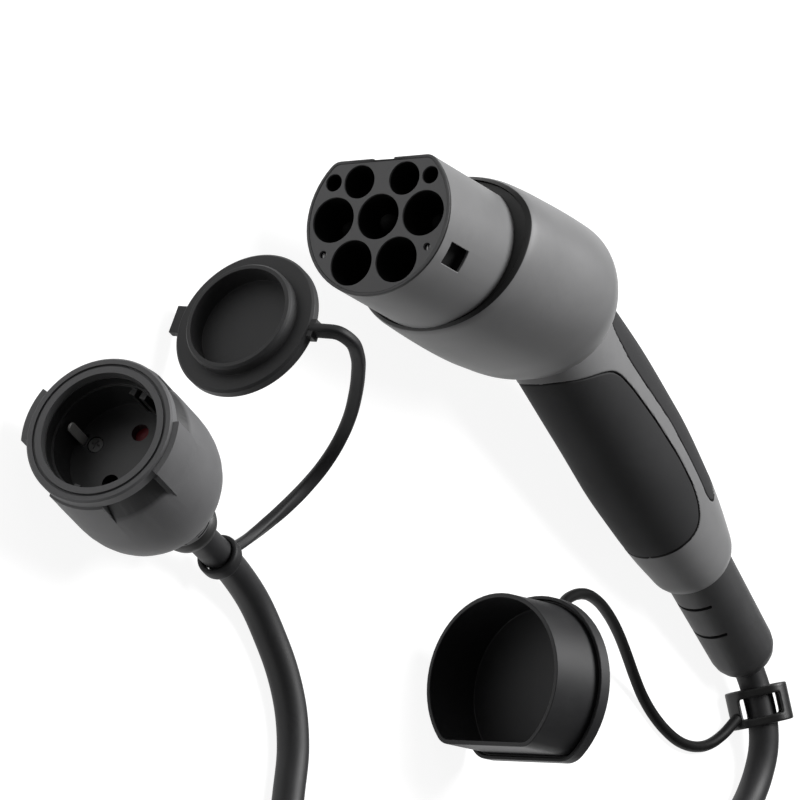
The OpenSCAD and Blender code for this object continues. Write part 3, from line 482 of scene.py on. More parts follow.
def pocket_group(name):
    """Under a radius and between two depths along an axis, whose distance follows by Pythagoras."""
    tree, given, result = new_group(name, ("Vector", "Origin", "Axis"), ("Start", "End", "Radius"), ("Mask",))
    sums = partial(math_node, tree)
    away = vector_node(tree, "SUBTRACT", given["Vector"], given["Origin"])["Vector"]
    run = vector_node(tree, "DOT_PRODUCT", away, given["Axis"])["Value"]
    square = vector_node(tree, "DOT_PRODUCT", away, away)["Value"]
    across = sums("SQRT", sums("SUBTRACT", square, sums("MULTIPLY", run, run)))
    mask = sums("MULTIPLY", sums("SUBTRACT", given["Radius"], across), POCKET_STEEP, clamp=True)
    for a, b in ((run, given["Start"]), (given["End"], run)):
        within = sums("MULTIPLY", sums("SUBTRACT", a, b), DEPTH_STEEP, clamp=True)
        mask = sums("MULTIPLY", mask, within)
    tree.links.new(mask, result["Mask"])
    return tree


GROUPS = {"Moulded grain": grain_group, "Handling marks": marks_group,
          "Past a limit": past_group, "Under a radius": pocket_group}


def group_node(tree, name, place, **values):
    """A shared group in a material, read at a place, with its own values. It is built on its first use."""
    node = tree.nodes.new("ShaderNodeGroup")
    node.node_tree = bpy.data.node_groups.get(name) or GROUPS[name](name)
    tree.links.new(place, node.inputs["Vector"])
    for socket, value in values.items():
        node.inputs[socket].default_value = value
    return node.outputs


def own_map(tree):
    """The coordinates of the map that new_piece gives a mesh."""
    node = tree.nodes.new("ShaderNodeUVMap")
    node.uv_map = "run"
    return node.outputs["UV"]


def row_frame(tree):
    """Object coordinates, which are the row frame's, because each piece lies at the origin."""
    return tree.nodes.new("ShaderNodeTexCoord").outputs["Object"]


def shaded(rgb, factor):
    """A colour made lighter or darker, as a socket takes it."""
    return tuple(min(1.0, c * factor) for c in rgb) + (1.0,)


def mixed(tree, share, under, over):
    """Lays a plain colour over that of a socket by a share, and gives the shader the result."""
    mix = tree.nodes.new("ShaderNodeMix")
    mix.data_type = "RGBA"
    tree.links.new(share, mix.inputs["Factor"])
    tree.links.new(under, mix.inputs[MIX_UNDER])
    mix.inputs[MIX_OVER].default_value = over
    tree.links.new(mix.outputs[MIX_RESULT], tree.nodes["Principled BSDF"].inputs["Base Color"])


def finish(look):
    """A moulded or metal finish: tone, faint rubbed marks and grain vary its colour, roughness and bump."""
    if look in bpy.data.materials:
        return bpy.data.materials[look]
    tint, roughness, gloss, metal, grain, depth, patches, spread, marks = FINISHES[look]
    rgb = getattr(colours(), tint) if isinstance(tint, str) else tint
    material = bpy.data.materials.new(look)
    material.use_nodes = True
    tree = material.node_tree
    shader = tree.nodes["Principled BSDF"].inputs
    sums, place = partial(math_node, tree), row_frame(tree)
    vector = place
    if look in DRAWN_OUT:
        mapping = tree.nodes.new("ShaderNodeMapping")
        mapping.inputs["Scale"].default_value = DRAWN_SCALE
        tree.links.new(own_map(tree), mapping.inputs["Vector"])
        vector = mapping.outputs["Vector"]
    texture = group_node(tree, "Moulded grain", vector, Size=grain, Patches=patches)
    rub = group_node(tree, "Handling marks", place, Size=patches, Amount=marks)["Mask"]
    ramp = tree.nodes.new("ShaderNodeValToRGB")
    low, high = ramp.color_ramp.elements
    low.position, high.position = RAMP_START, RAMP_END
    low.color, high.color = shaded(rgb, 1 - spread), shaded(rgb, 1 + spread)
    tree.links.new(texture["Tone"], ramp.inputs["Fac"])
    rubbed = shaded([c + RUB_LIFT for c in rgb], RUB_GAIN)
    mixed(tree, sums("MULTIPLY", rub, RUB_SHARE), ramp.outputs["Color"], rubbed)
    rough = sums("ADD", sums("MULTIPLY", texture["Tone"], TONE_ROUGH), roughness - TONE_ROUGH / 2)
    rough = sums("ADD", rough, sums("MULTIPLY", rub, RUB_ROUGH), clamp=True)
    tree.links.new(rough, shader["Roughness"])
    bump = tree.nodes.new("ShaderNodeBump")
    bump.inputs["Strength"].default_value = 1.0
    bump.inputs["Distance"].default_value = depth
    tree.links.new(texture["Height"], bump.inputs["Height"])
    tree.links.new(bump.outputs["Normal"], shader["Normal"])
    shader["Metallic"].default_value = metal
    shader["Specular IOR Level"].default_value = gloss
    return material


def laid_over(look, rgb, mask, mapped=False, **values):
    """Lays a second colour over a finish by a group's mask, read in the row frame or on the own map."""
    tree = finish(look).node_tree
    place = own_map(tree) if mapped else row_frame(tree)
    share = group_node(tree, mask, place, **values)["Mask"]
    under = tree.nodes["Principled BSDF"].inputs["Base Color"].links[0].from_socket
    mixed(tree, share, under, shaded(rgb, 1.0))


def ahead_of(place, way, reach):
    """A direction of a piece's own frame as an axis of the row frame, and the limit at a reach along it."""
    axis = place[1] @ np.asarray(way, float)
    return {"Axis": tuple(axis), "Limit": float(axis @ place[0] + reach) * MM}


# Stage
CAMERA_AT = (2.0830, 0.8504, 1.5338)
CAMERA_AXES = np.array([[-0.5898, 0.2637, 0.7633], [-0.0068, -0.9468, 0.3219], [0.8075, 0.1848, 0.5602]])
SENSOR, LENS, FARTHEST = 36.0, 360.0, 50.0
# lamps: direction by the camera's right, up and backward axes, then size and distance in metres
LAMPS = {"key": ((0.9, 0.46, 0.14), 0.9, 1.5), "fill": ((-0.18, 0.85, 0.5), 1.4, 1.7)}
FLOOR_RADII = (0.001, 1.0, 4.0)
FLOOR_SIDES = 96
FLOOR_ROUGH, FLOOR_GLOSS = 0.9, 0.1


class ADAPTER_OT_stage(bpy.types.Operator):
    """Camera at the photograph's angle, a pale floor and soft studio light"""

    bl_idname = "adapter.stage"
    bl_label = "Stage"

    def execute(self, context):
        light = context.scene.adapter_light
        context.scene.camera = self.camera(context)
        for name in LAMPS:
            self.lamp(context, name, getattr(light, name))
        context.scene.world = self.world(light)
        self.floor(context, light)
        context.scene.view_settings.view_transform = "Standard"
        return {"FINISHED"}

    def camera(self, context):
        """A long lens at the photograph's place and angle."""
        data = bpy.data.cameras.new("view")
        data.sensor_width, data.lens = SENSOR, LENS
        data.clip_end = FARTHEST
        camera = bpy.data.objects.new("view", data)
        axes = Matrix([list(row) for row in CAMERA_AXES]).to_4x4()
        camera.matrix_world = Matrix.Translation(Vector(CAMERA_AT)) @ axes
        context.scene.collection.objects.link(camera)
        return camera

    def lamp(self, context, name, power):
        """An area lamp that looks at the row frame's origin from its own direction."""
        way, size, far = LAMPS[name]
        lamp = bpy.data.lights.new(name, "AREA")
        lamp.energy, lamp.size = power, size
        obj = bpy.data.objects.new(name, lamp)
        seen = CAMERA_AXES @ np.array(way, float)
        at = Vector(seen / np.linalg.norm(seen)) * far
        obj.matrix_world = Matrix.Translation(at) @ at.to_track_quat("Z", "Y").to_matrix().to_4x4()
        context.scene.collection.objects.link(obj)

    def world(self, light):
        """Even light all round, which the camera sees as white."""
        world = bpy.data.worlds.new("studio")
        world.use_nodes = True
        tree = world.node_tree
        tree.nodes.clear()
        mix = tree.nodes.new("ShaderNodeMixShader")
        rays = tree.nodes.new("ShaderNodeLightPath")
        tree.links.new(rays.outputs["Is Camera Ray"], mix.inputs[0])
        for socket, strength in ((mix.inputs[1], light.world), (mix.inputs[2], 1.0)):
            background = tree.nodes.new("ShaderNodeBackground")
            background.inputs["Strength"].default_value = strength
            tree.links.new(background.outputs[0], socket)
        out = tree.nodes.new("ShaderNodeOutputWorld")
        tree.links.new(mix.outputs[0], out.inputs["Surface"])
        return world

    def floor(self, context, light):
        """A round floor in rings; the light that it adds is for the camera and for reflections only."""
        a = np.linspace(0, 2 * math.pi, FLOOR_SIDES, endpoint=False)
        rings = np.stack([np.stack([r * np.cos(a), r * np.sin(a), 0 * a], axis=1) for r in FLOOR_RADII])
        faces = grid_faces(len(FLOOR_RADII), FLOOR_SIDES).tolist() + [list(range(FLOOR_SIDES))]
        mesh = bpy.data.meshes.new("floor")
        mesh.from_pydata(rings.reshape(-1, 3).tolist(), [], faces)
        material = bpy.data.materials.new("pale floor")
        material.use_nodes = True
        tree = material.node_tree
        shader = tree.nodes["Principled BSDF"].inputs
        shader["Base Color"].default_value = shaded((light.floor_tone,) * 3, 1.0)
        shader["Roughness"].default_value = FLOOR_ROUGH
        shader["Specular IOR Level"].default_value = FLOOR_GLOSS
        rays = tree.nodes.new("ShaderNodeLightPath").outputs
        seen = math_node(tree, "ADD", rays["Is Camera Ray"], rays["Is Glossy Ray"], clamp=True)
        tree.links.new(math_node(tree, "MULTIPLY", seen, light.floor_white), shader["Emission Strength"])
        shader["Emission Color"].default_value = (1, 1, 1, 1)
        mesh.materials.append(material)
        floor = bpy.data.objects.new("floor", mesh)
        context.scene.collection.objects.link(floor)
        return floor


# Cords
UPWARD = np.array([0, 0, 1.0])
BOOT_AT, BOOT_SLOPE, BOOT_LEN = (-232.0, -56.8), 28.0, 50.0
BOOT_WAY = np.array([-math.cos(math.radians(BOOT_SLOPE)), 0, -math.sin(math.radians(BOOT_SLOPE))])
SOCKET_BACK = -78.0
CABLE_R = 5.4
CLIP_HIGH = 10.417
# where the cable leaves the boot a little to one side of its axis
CABLE_LEAN = np.array([1, 1.8, 0])
# places of the cable's points in the boot, along its axis, and of those round the socket's back
CABLE_IN_BOOT = (26, BOOT_LEN - 15)
CABLE_IN_SOCKET = (-9, 6, 24)
CABLE_LOOP = [[-278.6, 88.6, CLIP_HIGH], [-283.9, 101.8, CLIP_HIGH], [-285.9, 110, 9], [-285.4, 118.6, 7.2],
              [-282.6, 126.7, 6], [-278, 134, 5.5], [-268.4, 144.6, 5.5], [-255, 157, 5.5], [-236, 172, 5.5],
              [-214, 187.5, 5.5], [-190, 202.5, 5.5], [-164, 217, 5.5], [-137, 230, 5.5], [-109, 241, 5.5],
              [-82, 249, 5.5], [-57, 252.5, 5.5], [-35, 249.5, 5.5], [-18, 240, 5.5], [-8.5, 225, 5.5],
              [-6, 207.5, 5.5], [-8.6, 191, 5.5], [-10.7, 175, 5.5], [-9, 161.5, 5.5], [-4, 149.5, 5.5],
              [3.2, 139.3, 5.5], [11.4, 131.4, 6.2], [25.8, 124.6, 8.6]]
# end of the boss on the cap, and places of the tether's end along the boss's axis from there
BOSS_END = np.array([-28.3, 0, -14])
TETHER_IN_BOSS = (-2.4, 0, 3)
TETHER_RUN = [[-123.6, 117, 35.4], [-125.8, 111.5, 34.2], [-127.8, 104.5, 32], [-132.4, 98, 29.4],
              [-140.4, 93, 27.2], [-151.8, 89, 24.8], [-164.6, 88, 21.4], [-177.4, 89.6, 17.4],
              [-189, 92.4, 13.2], [-200.2, 96.3, 8.8], [-210, 100.9, 5.2], [-218, 105.6, 3],
              [-225.6, 110.2, 2.1], [-233, 114, 2.1], [-242, 116.4, 2.1], [-252, 116, 2.1], [-261, 113, 2.3],
              [-268.4, 107.6, 3.6], [-273.6, 101, 6]]
# the strap's root in the lid's own frame, and its points from the lid to its ring on the cable
STRAP_ROOT = ([-2.6, 0, 25], [-2.6, 0, 30])
STRAP_RUN = [[43.6, 56.9, 62.8], [38.2, 58.4, 64], [30, 60.6, 60.8], [21, 63.4, 54.4], [13.2, 66.6, 47.6],
             [6.8, 70.2, 41], [2, 73.9, 34.6], [-0.8, 78.6, 28.4], [-1.4, 84, 22.6], [0.8, 90.4, 17.4],
             [6, 97.6, 13.6], [13.4, 105, 11.2], [21, 111.4, 10.2]]
STRAP_UP = (0.55, 0.83, 0.1)
STRAP_SQUARE = 3.2
# how far from the cable's axis the strap ends in its ring, then the ring's outer radius and its width
STRAP_REACH, RING_OUTER, RING_WIDE = 5.8, 7.4, 5.0
RING_SIDES, RING_TURNS, RING_POWER = 20, 56, 0.6
# sides of the three cords, and the superellipse's power of a round one
CABLE_SIDES, TETHER_SIDES, STRAP_SIDES, ROUND = 32, 20, 24, 2.0
# spacing of the points on the cable's curve and on the two thinner ones
CABLE_STEP, THIN_STEP = 2.2, 1.2


def boot_point(s):
    """A point of the boot's axis at a distance behind the handle's end, in the row frame."""
    return placed(PLUG, np.array([BOOT_AT[0], 0, BOOT_AT[1]]) + s * BOOT_WAY)


def socket_point(s):
    """A point of the socket's axis at a distance from its back, in the row frame."""
    return placed(SOCKET, [SOCKET_BACK + s, 0, 0])


def cord_piece(name, node, path, wide, thick, square, sides, look, up=UPWARD):
    """A superellipse carried along a path, which stands for a CAD node."""
    vertices, faces = closed_skin(tube(path, wide / MM / 2, thick / MM / 2, square, sides, up))
    piece = new_piece(name, vertices * MM, faces, look, SOFT_ANGLE, tube_uv(path, sides))
    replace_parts(piece, node)
    return piece


class ADAPTER_OT_cords(bpy.types.Operator):
    """The charging cable, the cap's round tether and the lid's moulded strap, each on one smooth curve"""

    bl_idname = "adapter.cords"
    bl_label = "Cords"

    def execute(self, context):
        self.cable(sizes().cable_diameter)
        self.tether(sizes().tether_diameter)
        self.strap(sizes().strap_width, sizes().strap_thickness)
        return {"FINISHED"}

    def cable(self, thick):
        """The cable runs from inside the boot round its loop on the floor into the socket's back."""
        start = boot_point(BOOT_LEN) + CABLE_LEAN
        route = [*(boot_point(s) for s in CABLE_IN_BOOT), start, *(MIDDLE + p for p in CABLE_LOOP),
                 *(socket_point(s) for s in CABLE_IN_SOCKET)]
        path = smooth_path(route, CABLE_STEP)
        cable = cord_piece("charging_cable", "cable", path, thick, thick, ROUND, CABLE_SIDES,
                           "cable sheath")

    def tether(self, thick):
        """The tether runs from inside the cap's boss to the clip on the cable."""
        boss = [placed(CAP, BOSS_END - [d, 0, 0]) for d in TETHER_IN_BOSS]
        route = [*boss, *(MIDDLE + p for p in TETHER_RUN)]
        path = smooth_path(route, THIN_STEP)
        tether = cord_piece("cap_tether_cord", "cap_tether", path, thick, thick, ROUND, TETHER_SIDES,
                            "tether rubber")

    def strap(self, wide, thick):
        """The strap ends in its ring, halfway between the cable's last free point and the socket."""
        loop_end = MIDDLE + CABLE_LOOP[-1]
        ring = (socket_point(CABLE_IN_SOCKET[0]) + loop_end) / 2
        way = MIDDLE + STRAP_RUN[-1] - ring
        root = [placed(LID, p) for p in STRAP_ROOT]
        route = [*root, *(MIDDLE + p for p in STRAP_RUN), ring + STRAP_REACH * way / np.linalg.norm(way)]
        path = smooth_path(route, THIN_STEP)
        strap = cord_piece("lid_strap_cord", "lid_strap", path, wide, thick, STRAP_SQUARE, STRAP_SIDES,
                           "strap rubber", STRAP_UP)
        axis = socket_point(CABLE_IN_SOCKET[0]) - loop_end
        vertices, faces = self.band(ring, axis / np.linalg.norm(axis), sizes().cable_diameter / MM / 2)
        collar = new_piece("strap_ring", vertices * MM, faces, "strap rubber", RIM_ANGLE)
        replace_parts(collar, "lid_strap")

    def band(self, middle, axis, inner):
        """A superellipse of the wall's half sizes turned about an axis, from the cable's radius outwards."""
        a = np.linspace(0, 2 * math.pi, RING_SIDES, endpoint=False)
        x = RING_WIDE / 2 * raised(np.cos(a), RING_POWER)
        r = (inner + RING_OUTER) / 2 + (RING_OUTER - inner) / 2 * raised(np.sin(a), RING_POWER)
        side = np.cross(axis, UPWARD)
        side /= np.linalg.norm(side)
        top = np.cross(side, axis)
        b = np.linspace(0, 2 * math.pi, RING_TURNS, endpoint=False)
        spoke = side[None] * np.cos(b)[:, None] + top[None] * np.sin(b)[:, None]
        rings = middle + axis * x[None, :, None] + spoke[:, None, :] * r[None, :, None]
        faces = grid_faces(RING_TURNS + 1, RING_SIDES) % (RING_TURNS * RING_SIDES)
        return rings.reshape(-1, 3), faces.tolist()


# Plug
# the head's rows from front to rear: place along its axis, lean in degrees, half width, height above and
# below the axis, and height of the widest line
HEAD_ROWS = np.array([
    [-41.4, -9, 32.2, 27.8, 27.9, 4], [-42.8, -9, 33.8, 29.2, 28.9, 4.5], [-46.5, -9, 34.8, 30.0, 29.2, 4.5],
    [-65, -4, 36.5, 30.6, 28.9, 3], [-85, 0, 37.8, 30.7, 28.0, 2], [-95, 0, 37.3, 31.0, 27.0, 1],
    [-102, 0, 35.0, 31.4, 26.4, 0], [-108, 0, 31.0, 31.6, 24.8, 0], [-113, 0, 26.0, 30.6, 21.8, 0],
    [-117, 0, 19.6, 27.8, 16.5, 0], [-119.4, 0, 13.0, 22.8, 11.5, 0], [-120.6, 0, 7.0, 16.0, 6.5, 0]])
HEAD_SQUARE = 2.08
HEAD_COUNT = 220
HEAD_FRONT, HEAD_LIP, HEAD_ROUND, HEAD_SHOULDER, HEAD_REAR = HEAD_ROWS[[0, 1, 2, 5, -1], 0]
# stretches of the head's depths, and the number of outlines on each
HEAD_SPANS = ((HEAD_FRONT, HEAD_FRONT - 1, 3), (HEAD_LIP, HEAD_ROUND, 8), (HEAD_ROUND - 1, HEAD_SHOULDER, 60),
              (HEAD_SHOULDER - 0.6, HEAD_REAR, 70))
# the seat behind the lip: how far each ring is let in and how far behind the lip it lies
HEAD_SEAT = ((1.7, 3.5), (1.7, 0.5), (1.55, -1.2))
# the rear's last rings are drawn in to this point by these shares, and bulge by up to the last number
HEAD_POLE, POLE_SHARES, POLE_BULGE = np.array([-121.0, 0, 2.0]), (0.7, 0.35), 0.25
# the plug's own axis turned by the rim's lean
HEAD_LEAN = math.radians(HEAD_ROWS[0, 1])
RIM_AXIS = np.array([math.cos(HEAD_LEAN), 0, -math.sin(HEAD_LEAN)])
# depth behind the face, along the leaning rim's own axis, to which the rim is black like the ring in it
LIP_DEPTH = 42.2
# depth behind the face past which the insert is painted black, as painted shade in the contact holes
HOLE_SHADE = 1.1
# width of the band behind the barrel's front edge that is painted black, as a painted shadow line between
# face and barrel
FRONT_SHADOW_LINE = 0.8
# the handle's rows from the head to the boot: centre's two places, tilt in degrees, half width, half height
HANDLE_ROWS = np.array([
    [-92, 6.4, 21, 18.0, 21.0], [-110, 1.6, 22, 18.6, 22.0], [-131, -7.1, 23.5, 18.9, 22.8],
    [-155, -17.7, 24.5, 19.1, 23.6], [-178, -29, 26, 19.1, 23.6], [-202, -41, 27, 17.8, 22.0],
    [-215, -47.8, 28, 16.7, 19.8], [-224.5, -52.8, 28, 15.5, 17.4], [-229.5, -55.5, 28, 14.7, 15.9],
    [-232, -56.8, 28, 13.6, 14.5]])
HANDLE_SQUARE = 2.15
HANDLE_START, HANDLE_END = HANDLE_ROWS[0, 0], HANDLE_ROWS[-1, 0]
# stretches of the handle's length, and the number of outlines on each
HANDLE_SPANS = ((HANDLE_START, -112, 14), (-112.5, -216, 230), (-216.6, HANDLE_END, 34))
# steps along and round the handle over which its skin's direction is measured
SLOPE_STEP, SLOPE_TURN = 0.2, 0.02
# how far before the handle's last row that measure stops
SLOPE_MARGIN = 0.01
HANDLE_COUNT = 280
# the collar's last rings: share of the end's size, and distance past it
HANDLE_CLOSE = ((0.985, 0.25), (0.955, 0.42), (0.9, 0.5), (0.5, 0.5))
# the step down to a grip's recess starts this far outside the grip's edge and is this wide
RECESS_LEAD, RECESS_WIDE = 0.25, 0.7
# a distance that counts as far outside every grip, and the angle from a grip's line within which its edge
# only closes the loop
FAR_OUTSIDE, CLOSING_ANGLE = -10.0, 0.02
LOWEST, HIGHEST = -math.pi / 2, math.pi / 2
# outlines of the two grips in a side view of the plug
BELLY_OUTLINE = [[-100, -62], [-104, -30], [-113, -25.4], [-120, -22.4], [-127, -18], [-132, -15.8],
                 [-137, -15.8], [-146, -18.3], [-163, -24.6], [-181, -32.6], [-194, -39.3], [-200, -44],
                 [-203.4, -49], [-203.8, -53], [-202.4, -58], [-200, -63], [-199, -76], [-150, -90]]
BACK_OUTLINE = [[-120, 42], [-124, 9], [-128.6, -1.2], [-142, -9.6], [-151, -13.4], [-162, -17.6],
                [-173, -22], [-182, -27], [-190, -31.2], [-199, -35.8], [-204, -38.8], [-208, -41],
                [-211.6, -40.6], [-213.4, -37.5], [-210, -10], [-160, 42]]
# each grip: its outline and the line of the handle that it lies round, as an angle
GRIPS = {"belly": (BELLY_OUTLINE, LOWEST), "back": (BACK_OUTLINE, HIGHEST)}
GRIP_EDGE_COUNT, GRIP_COUNT = 260, 70
# number of times that an edge is smoothed, and how much closer the points of a row lie towards the edge
EDGE_PASSES, EDGE_CLOSER = 3, 1.5
# a length that keeps two points of an edge apart, and a distance that counts as none
APART, NO_DISTANCE = 1e-6, 1e-9
# the grip lies this far under the handle's first skin, and the groove at its edge and its underside deeper
GRIP_SUNK, GRIP_GROOVE, GRIP_UNDER = 0.1, 1.1, 1.6


def superellipse(angle, square):
    """Unit superellipse |x|^n + |y|^n = 1 by angle: cosine and sine raised to 2/n with their signs."""
    return raised(np.cos(angle), 2 / square), raised(np.sin(angle), 2 / square)


def once_round(count):
    """Evenly spaced angles from the lowest line once round."""
    return np.linspace(LOWEST, LOWEST + 2 * math.pi, count, endpoint=False)


def head_rings(at, grow=0.0):
    """Outlines of the head at depths: the rows' sizes run along smooth curves, and each leans about Y."""
    x, lean, half, up, down, mid = (monotone(-HEAD_ROWS[:, 0], row, -np.asarray(at)) for row in HEAD_ROWS.T)
    across, upward = superellipse(once_round(HEAD_COUNT), HEAD_SQUARE)
    y = (half + grow)[:, None] * across
    tall = np.where(upward > 0, (up + grow - mid)[:, None], (down + grow + mid)[:, None])
    z = mid[:, None] + tall * upward
    lean = np.radians(lean)[:, None]
    return np.stack([x[:, None] + z * np.sin(lean), y, z * np.cos(lean)], axis=-1)


def handle_row(s):
    """Centre x and z, tilt, half width and half height of the handle at places s along it."""
    return [monotone(-HANDLE_ROWS[:, 0], row, -np.asarray(s)) for row in HANDLE_ROWS.T]


def handle_skin(s, angle):
    """The handle's skin: a tilted superellipse of the row's half sizes round the row's centre."""
    x, z, tilt, half, tall = handle_row(s)
    across, upward = superellipse(angle, HANDLE_SQUARE)
    t = np.radians(tilt)
    return np.stack([x - tall * upward * np.sin(t), half * across, z + tall * upward * np.cos(t)], axis=-1)


def handle_point(s, angle, sink=0.0):
    """Points of the handle, let in by sink along the skin's normal, which small steps on the skin give."""
    s, angle, sink = np.broadcast_arrays(*(np.asarray(a, float) for a in (s, angle, sink)))
    p = handle_skin(s, angle)
    first, last = (np.clip(s + step, HANDLE_END + SLOPE_MARGIN, HANDLE_START)
                   for step in (-SLOPE_STEP, SLOPE_STEP))
    along = handle_skin(last, angle) - handle_skin(first, angle)
    around = handle_skin(s, angle + SLOPE_TURN) - handle_skin(s, angle - SLOPE_TURN)
    normal = np.cross(around, along)
    normal /= np.linalg.norm(normal, axis=-1)[..., None]
    x, z = handle_row(s)[:2]
    outward = p - np.stack([x, 0 * x, z], axis=-1)
    normal *= np.sign((normal * outward).sum(axis=-1))[..., None]
    return p - normal * sink[..., None]


def on_handle(outline, step=0.7, rows=1200):
    """Places and angles of the handle under many points of a side-view outline, and whether each is on it."""
    loop = np.asarray(outline + outline[:1], float)
    parts = []
    for a, b in zip(loop[:-1], loop[1:]):
        count = max(2, int(np.linalg.norm(b - a) / step))
        parts.append(a + (b - a) * np.linspace(0, 1, count, endpoint=False)[:, None])
    p = np.concatenate(parts)
    s = np.linspace(HANDLE_START, HANDLE_END, rows)
    x, z, tilt, _, tall = handle_row(s)
    t = np.radians(tilt)
    ahead = (p[:, 0:1] - x) * np.cos(t) + (p[:, 1:2] - z) * np.sin(t)
    k = np.argmin(np.abs(ahead), axis=1)
    height = (-(p[:, 0] - x[k]) * np.sin(t[k]) + (p[:, 1] - z[k]) * np.cos(t[k])) / tall[k]
    angle = np.arcsin(np.clip(raised(height, HANDLE_SQUARE / 2), -1, 1))
    return s[k], angle, np.abs(height) < 1


def rounded_run(values, width=7):
    """A run of numbers smoothed by a moving mean, with its two ends kept."""
    kernel = np.ones(width) / width
    padded = np.concatenate([np.full(width // 2, values[0]), values, np.full(width // 2, values[-1])])
    out = np.convolve(padded, kernel, mode="valid")
    out[0], out[-1] = values[0], values[-1]
    return out


@cache
def grip_edge(name):
    """A grip's edge on the right side, from its front to its rear, as evenly spaced places and angles."""
    outline, base = GRIPS[name]
    s, angle, inside = on_handle(outline)
    first = np.argmax(inside) if not inside[0] else 0
    s, angle, inside = (np.roll(a, -first) for a in (s, angle, inside))
    s, angle = s[inside], angle[inside]
    if s[0] < s[-1]:
        s, angle = s[::-1], angle[::-1]
    s = np.concatenate([[s[0]], s, [s[-1]]])
    angle = np.concatenate([[base], angle, [base]])
    run = np.concatenate([[0], np.cumsum(steps_of(handle_point(s, angle)) + APART)])
    at = np.linspace(0, run[-1], GRIP_EDGE_COUNT)
    s, angle = np.interp(at, run, s), np.interp(at, run, angle)
    for _ in range(EDGE_PASSES):
        s, angle = rounded_run(s), rounded_run(angle)
    return s, angle


class ADAPTER_OT_head(bpy.types.Operator):
    """Head of the housing: a leaning superellipse skin with a lip at the front and a rounded rear shoulder"""

    bl_idname = "adapter.head"
    bl_label = "Head"

    def execute(self, context):
        outer = head_rings(np.concatenate([np.linspace(*span) for span in HEAD_SPANS]))
        seat = [head_rings([HEAD_LIP], -inset)[0] - RIM_AXIS * back for inset, back in HEAD_SEAT]
        close = [HEAD_POLE + (outer[-1] - HEAD_POLE) * share - [POLE_BULGE * (1 - share), 0, 0]
                 for share in POLE_SHARES]
        vertices, faces = closed_skin(np.concatenate([seat, outer, close]))
        laid_over("head moulding", colours().hollow, "Past a limit", **ahead_of(PLUG, RIM_AXIS, -LIP_DEPTH))
        vertices = placed(PLUG, vertices) * MM
        shell = new_piece("head_shell", vertices, faces, "head moulding", RIM_ANGLE)
        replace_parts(shell, "housing")
        return {"FINISHED"}


class ADAPTER_OT_handle(bpy.types.Operator):
    """Handle: a curved skin let in along a smooth step where the two grips lie, with a rounded end collar"""

    bl_idname = "adapter.handle"
    bl_label = "Handle"

    def execute(self, context):
        """One half's depths are worked out and mirrored. The map holds the distance to a grip's edge."""
        s = np.concatenate([np.linspace(*span) for span in HANDLE_SPANS])
        angle = once_round(HANDLE_COUNT)
        half = angle[:HANDLE_COUNT // 2 + 1]
        skin = handle_point(s[:, None], half[None, :])
        into, sink = np.full(skin.shape[:2], FAR_OUTSIDE), np.zeros(skin.shape[:2])
        depth = sizes().seam_depth / MM
        for name, (_, base) in GRIPS.items():
            edge_s, edge_angle = grip_edge(name)
            free = np.abs(edge_angle - base) > CLOSING_ANGLE
            gap = nearest(skin, finer(handle_point(edge_s, edge_angle)[free]))
            signed = np.where(self.inside(s, half, edge_s, edge_angle, base), gap, -gap)
            into = np.maximum(into, signed)
            step = np.clip((signed + RECESS_LEAD) / RECESS_WIDE, 0, 1)
            sink = np.maximum(sink, depth * step * step * (3 - 2 * step))
        into, sink = (np.concatenate([a, a[:, -2:0:-1]], axis=1) for a in (into, sink))
        rings = handle_point(s[:, None], angle[None, :], sink)
        middle = rings[-1].mean(axis=0)
        collar = [middle + (rings[-1] - middle) * share + BOOT_WAY * past for share, past in HANDLE_CLOSE]
        vertices, faces = closed_skin(np.concatenate([rings, collar]))
        share = np.full(len(vertices), into.min())
        share[:into.size] = into.ravel()
        fans = len(faces) - 2 * HANDLE_COUNT
        corners = np.concatenate([np.ravel(faces[:fans]), np.ravel(faces[fans:])])
        seam = np.stack([share[corners] * MM, 0 * share[corners]], axis=1)
        # painted shade in the grip seams: the handle is black inside a grip's edge and up to the seam shade
        # outside it, which also hides the step's jagged edge
        laid_over("handle moulding", colours().hollow, "Past a limit", mapped=True,
                  Axis=(1, 0, 0), Limit=-sizes().seam_shade)
        vertices = placed(PLUG, vertices) * MM
        shell = new_piece("handle_shell", vertices, faces, "handle moulding", SOFT_ANGLE, seam)
        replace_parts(shell, "housing")
        return {"FINISHED"}

    def inside(self, s, angle, edge_s, edge_angle, base):
        """Whether points lie in an edge's loop: a ray along s crosses the loop an odd number of times."""
        loop_s, loop_angle = np.append(edge_s, edge_s[0]), np.append(edge_angle, edge_angle[0])
        out = np.zeros((len(s), len(angle)), bool)
        for a0, a1, s0, s1 in zip(loop_angle[:-1], loop_angle[1:], loop_s[:-1], loop_s[1:]):
            cross = (a0 > angle) != (a1 > angle)
            if not cross.any():
                continue
            at = s0 + (angle[cross] - a0) / (a1 - a0) * (s1 - s0)
            out[:, cross] ^= s[:, None] > at[None, :]
        on_base = np.isclose(angle, base)[None, :]
        return out | on_base & ((s < edge_s[0]) & (s > edge_s[-1]))[:, None]


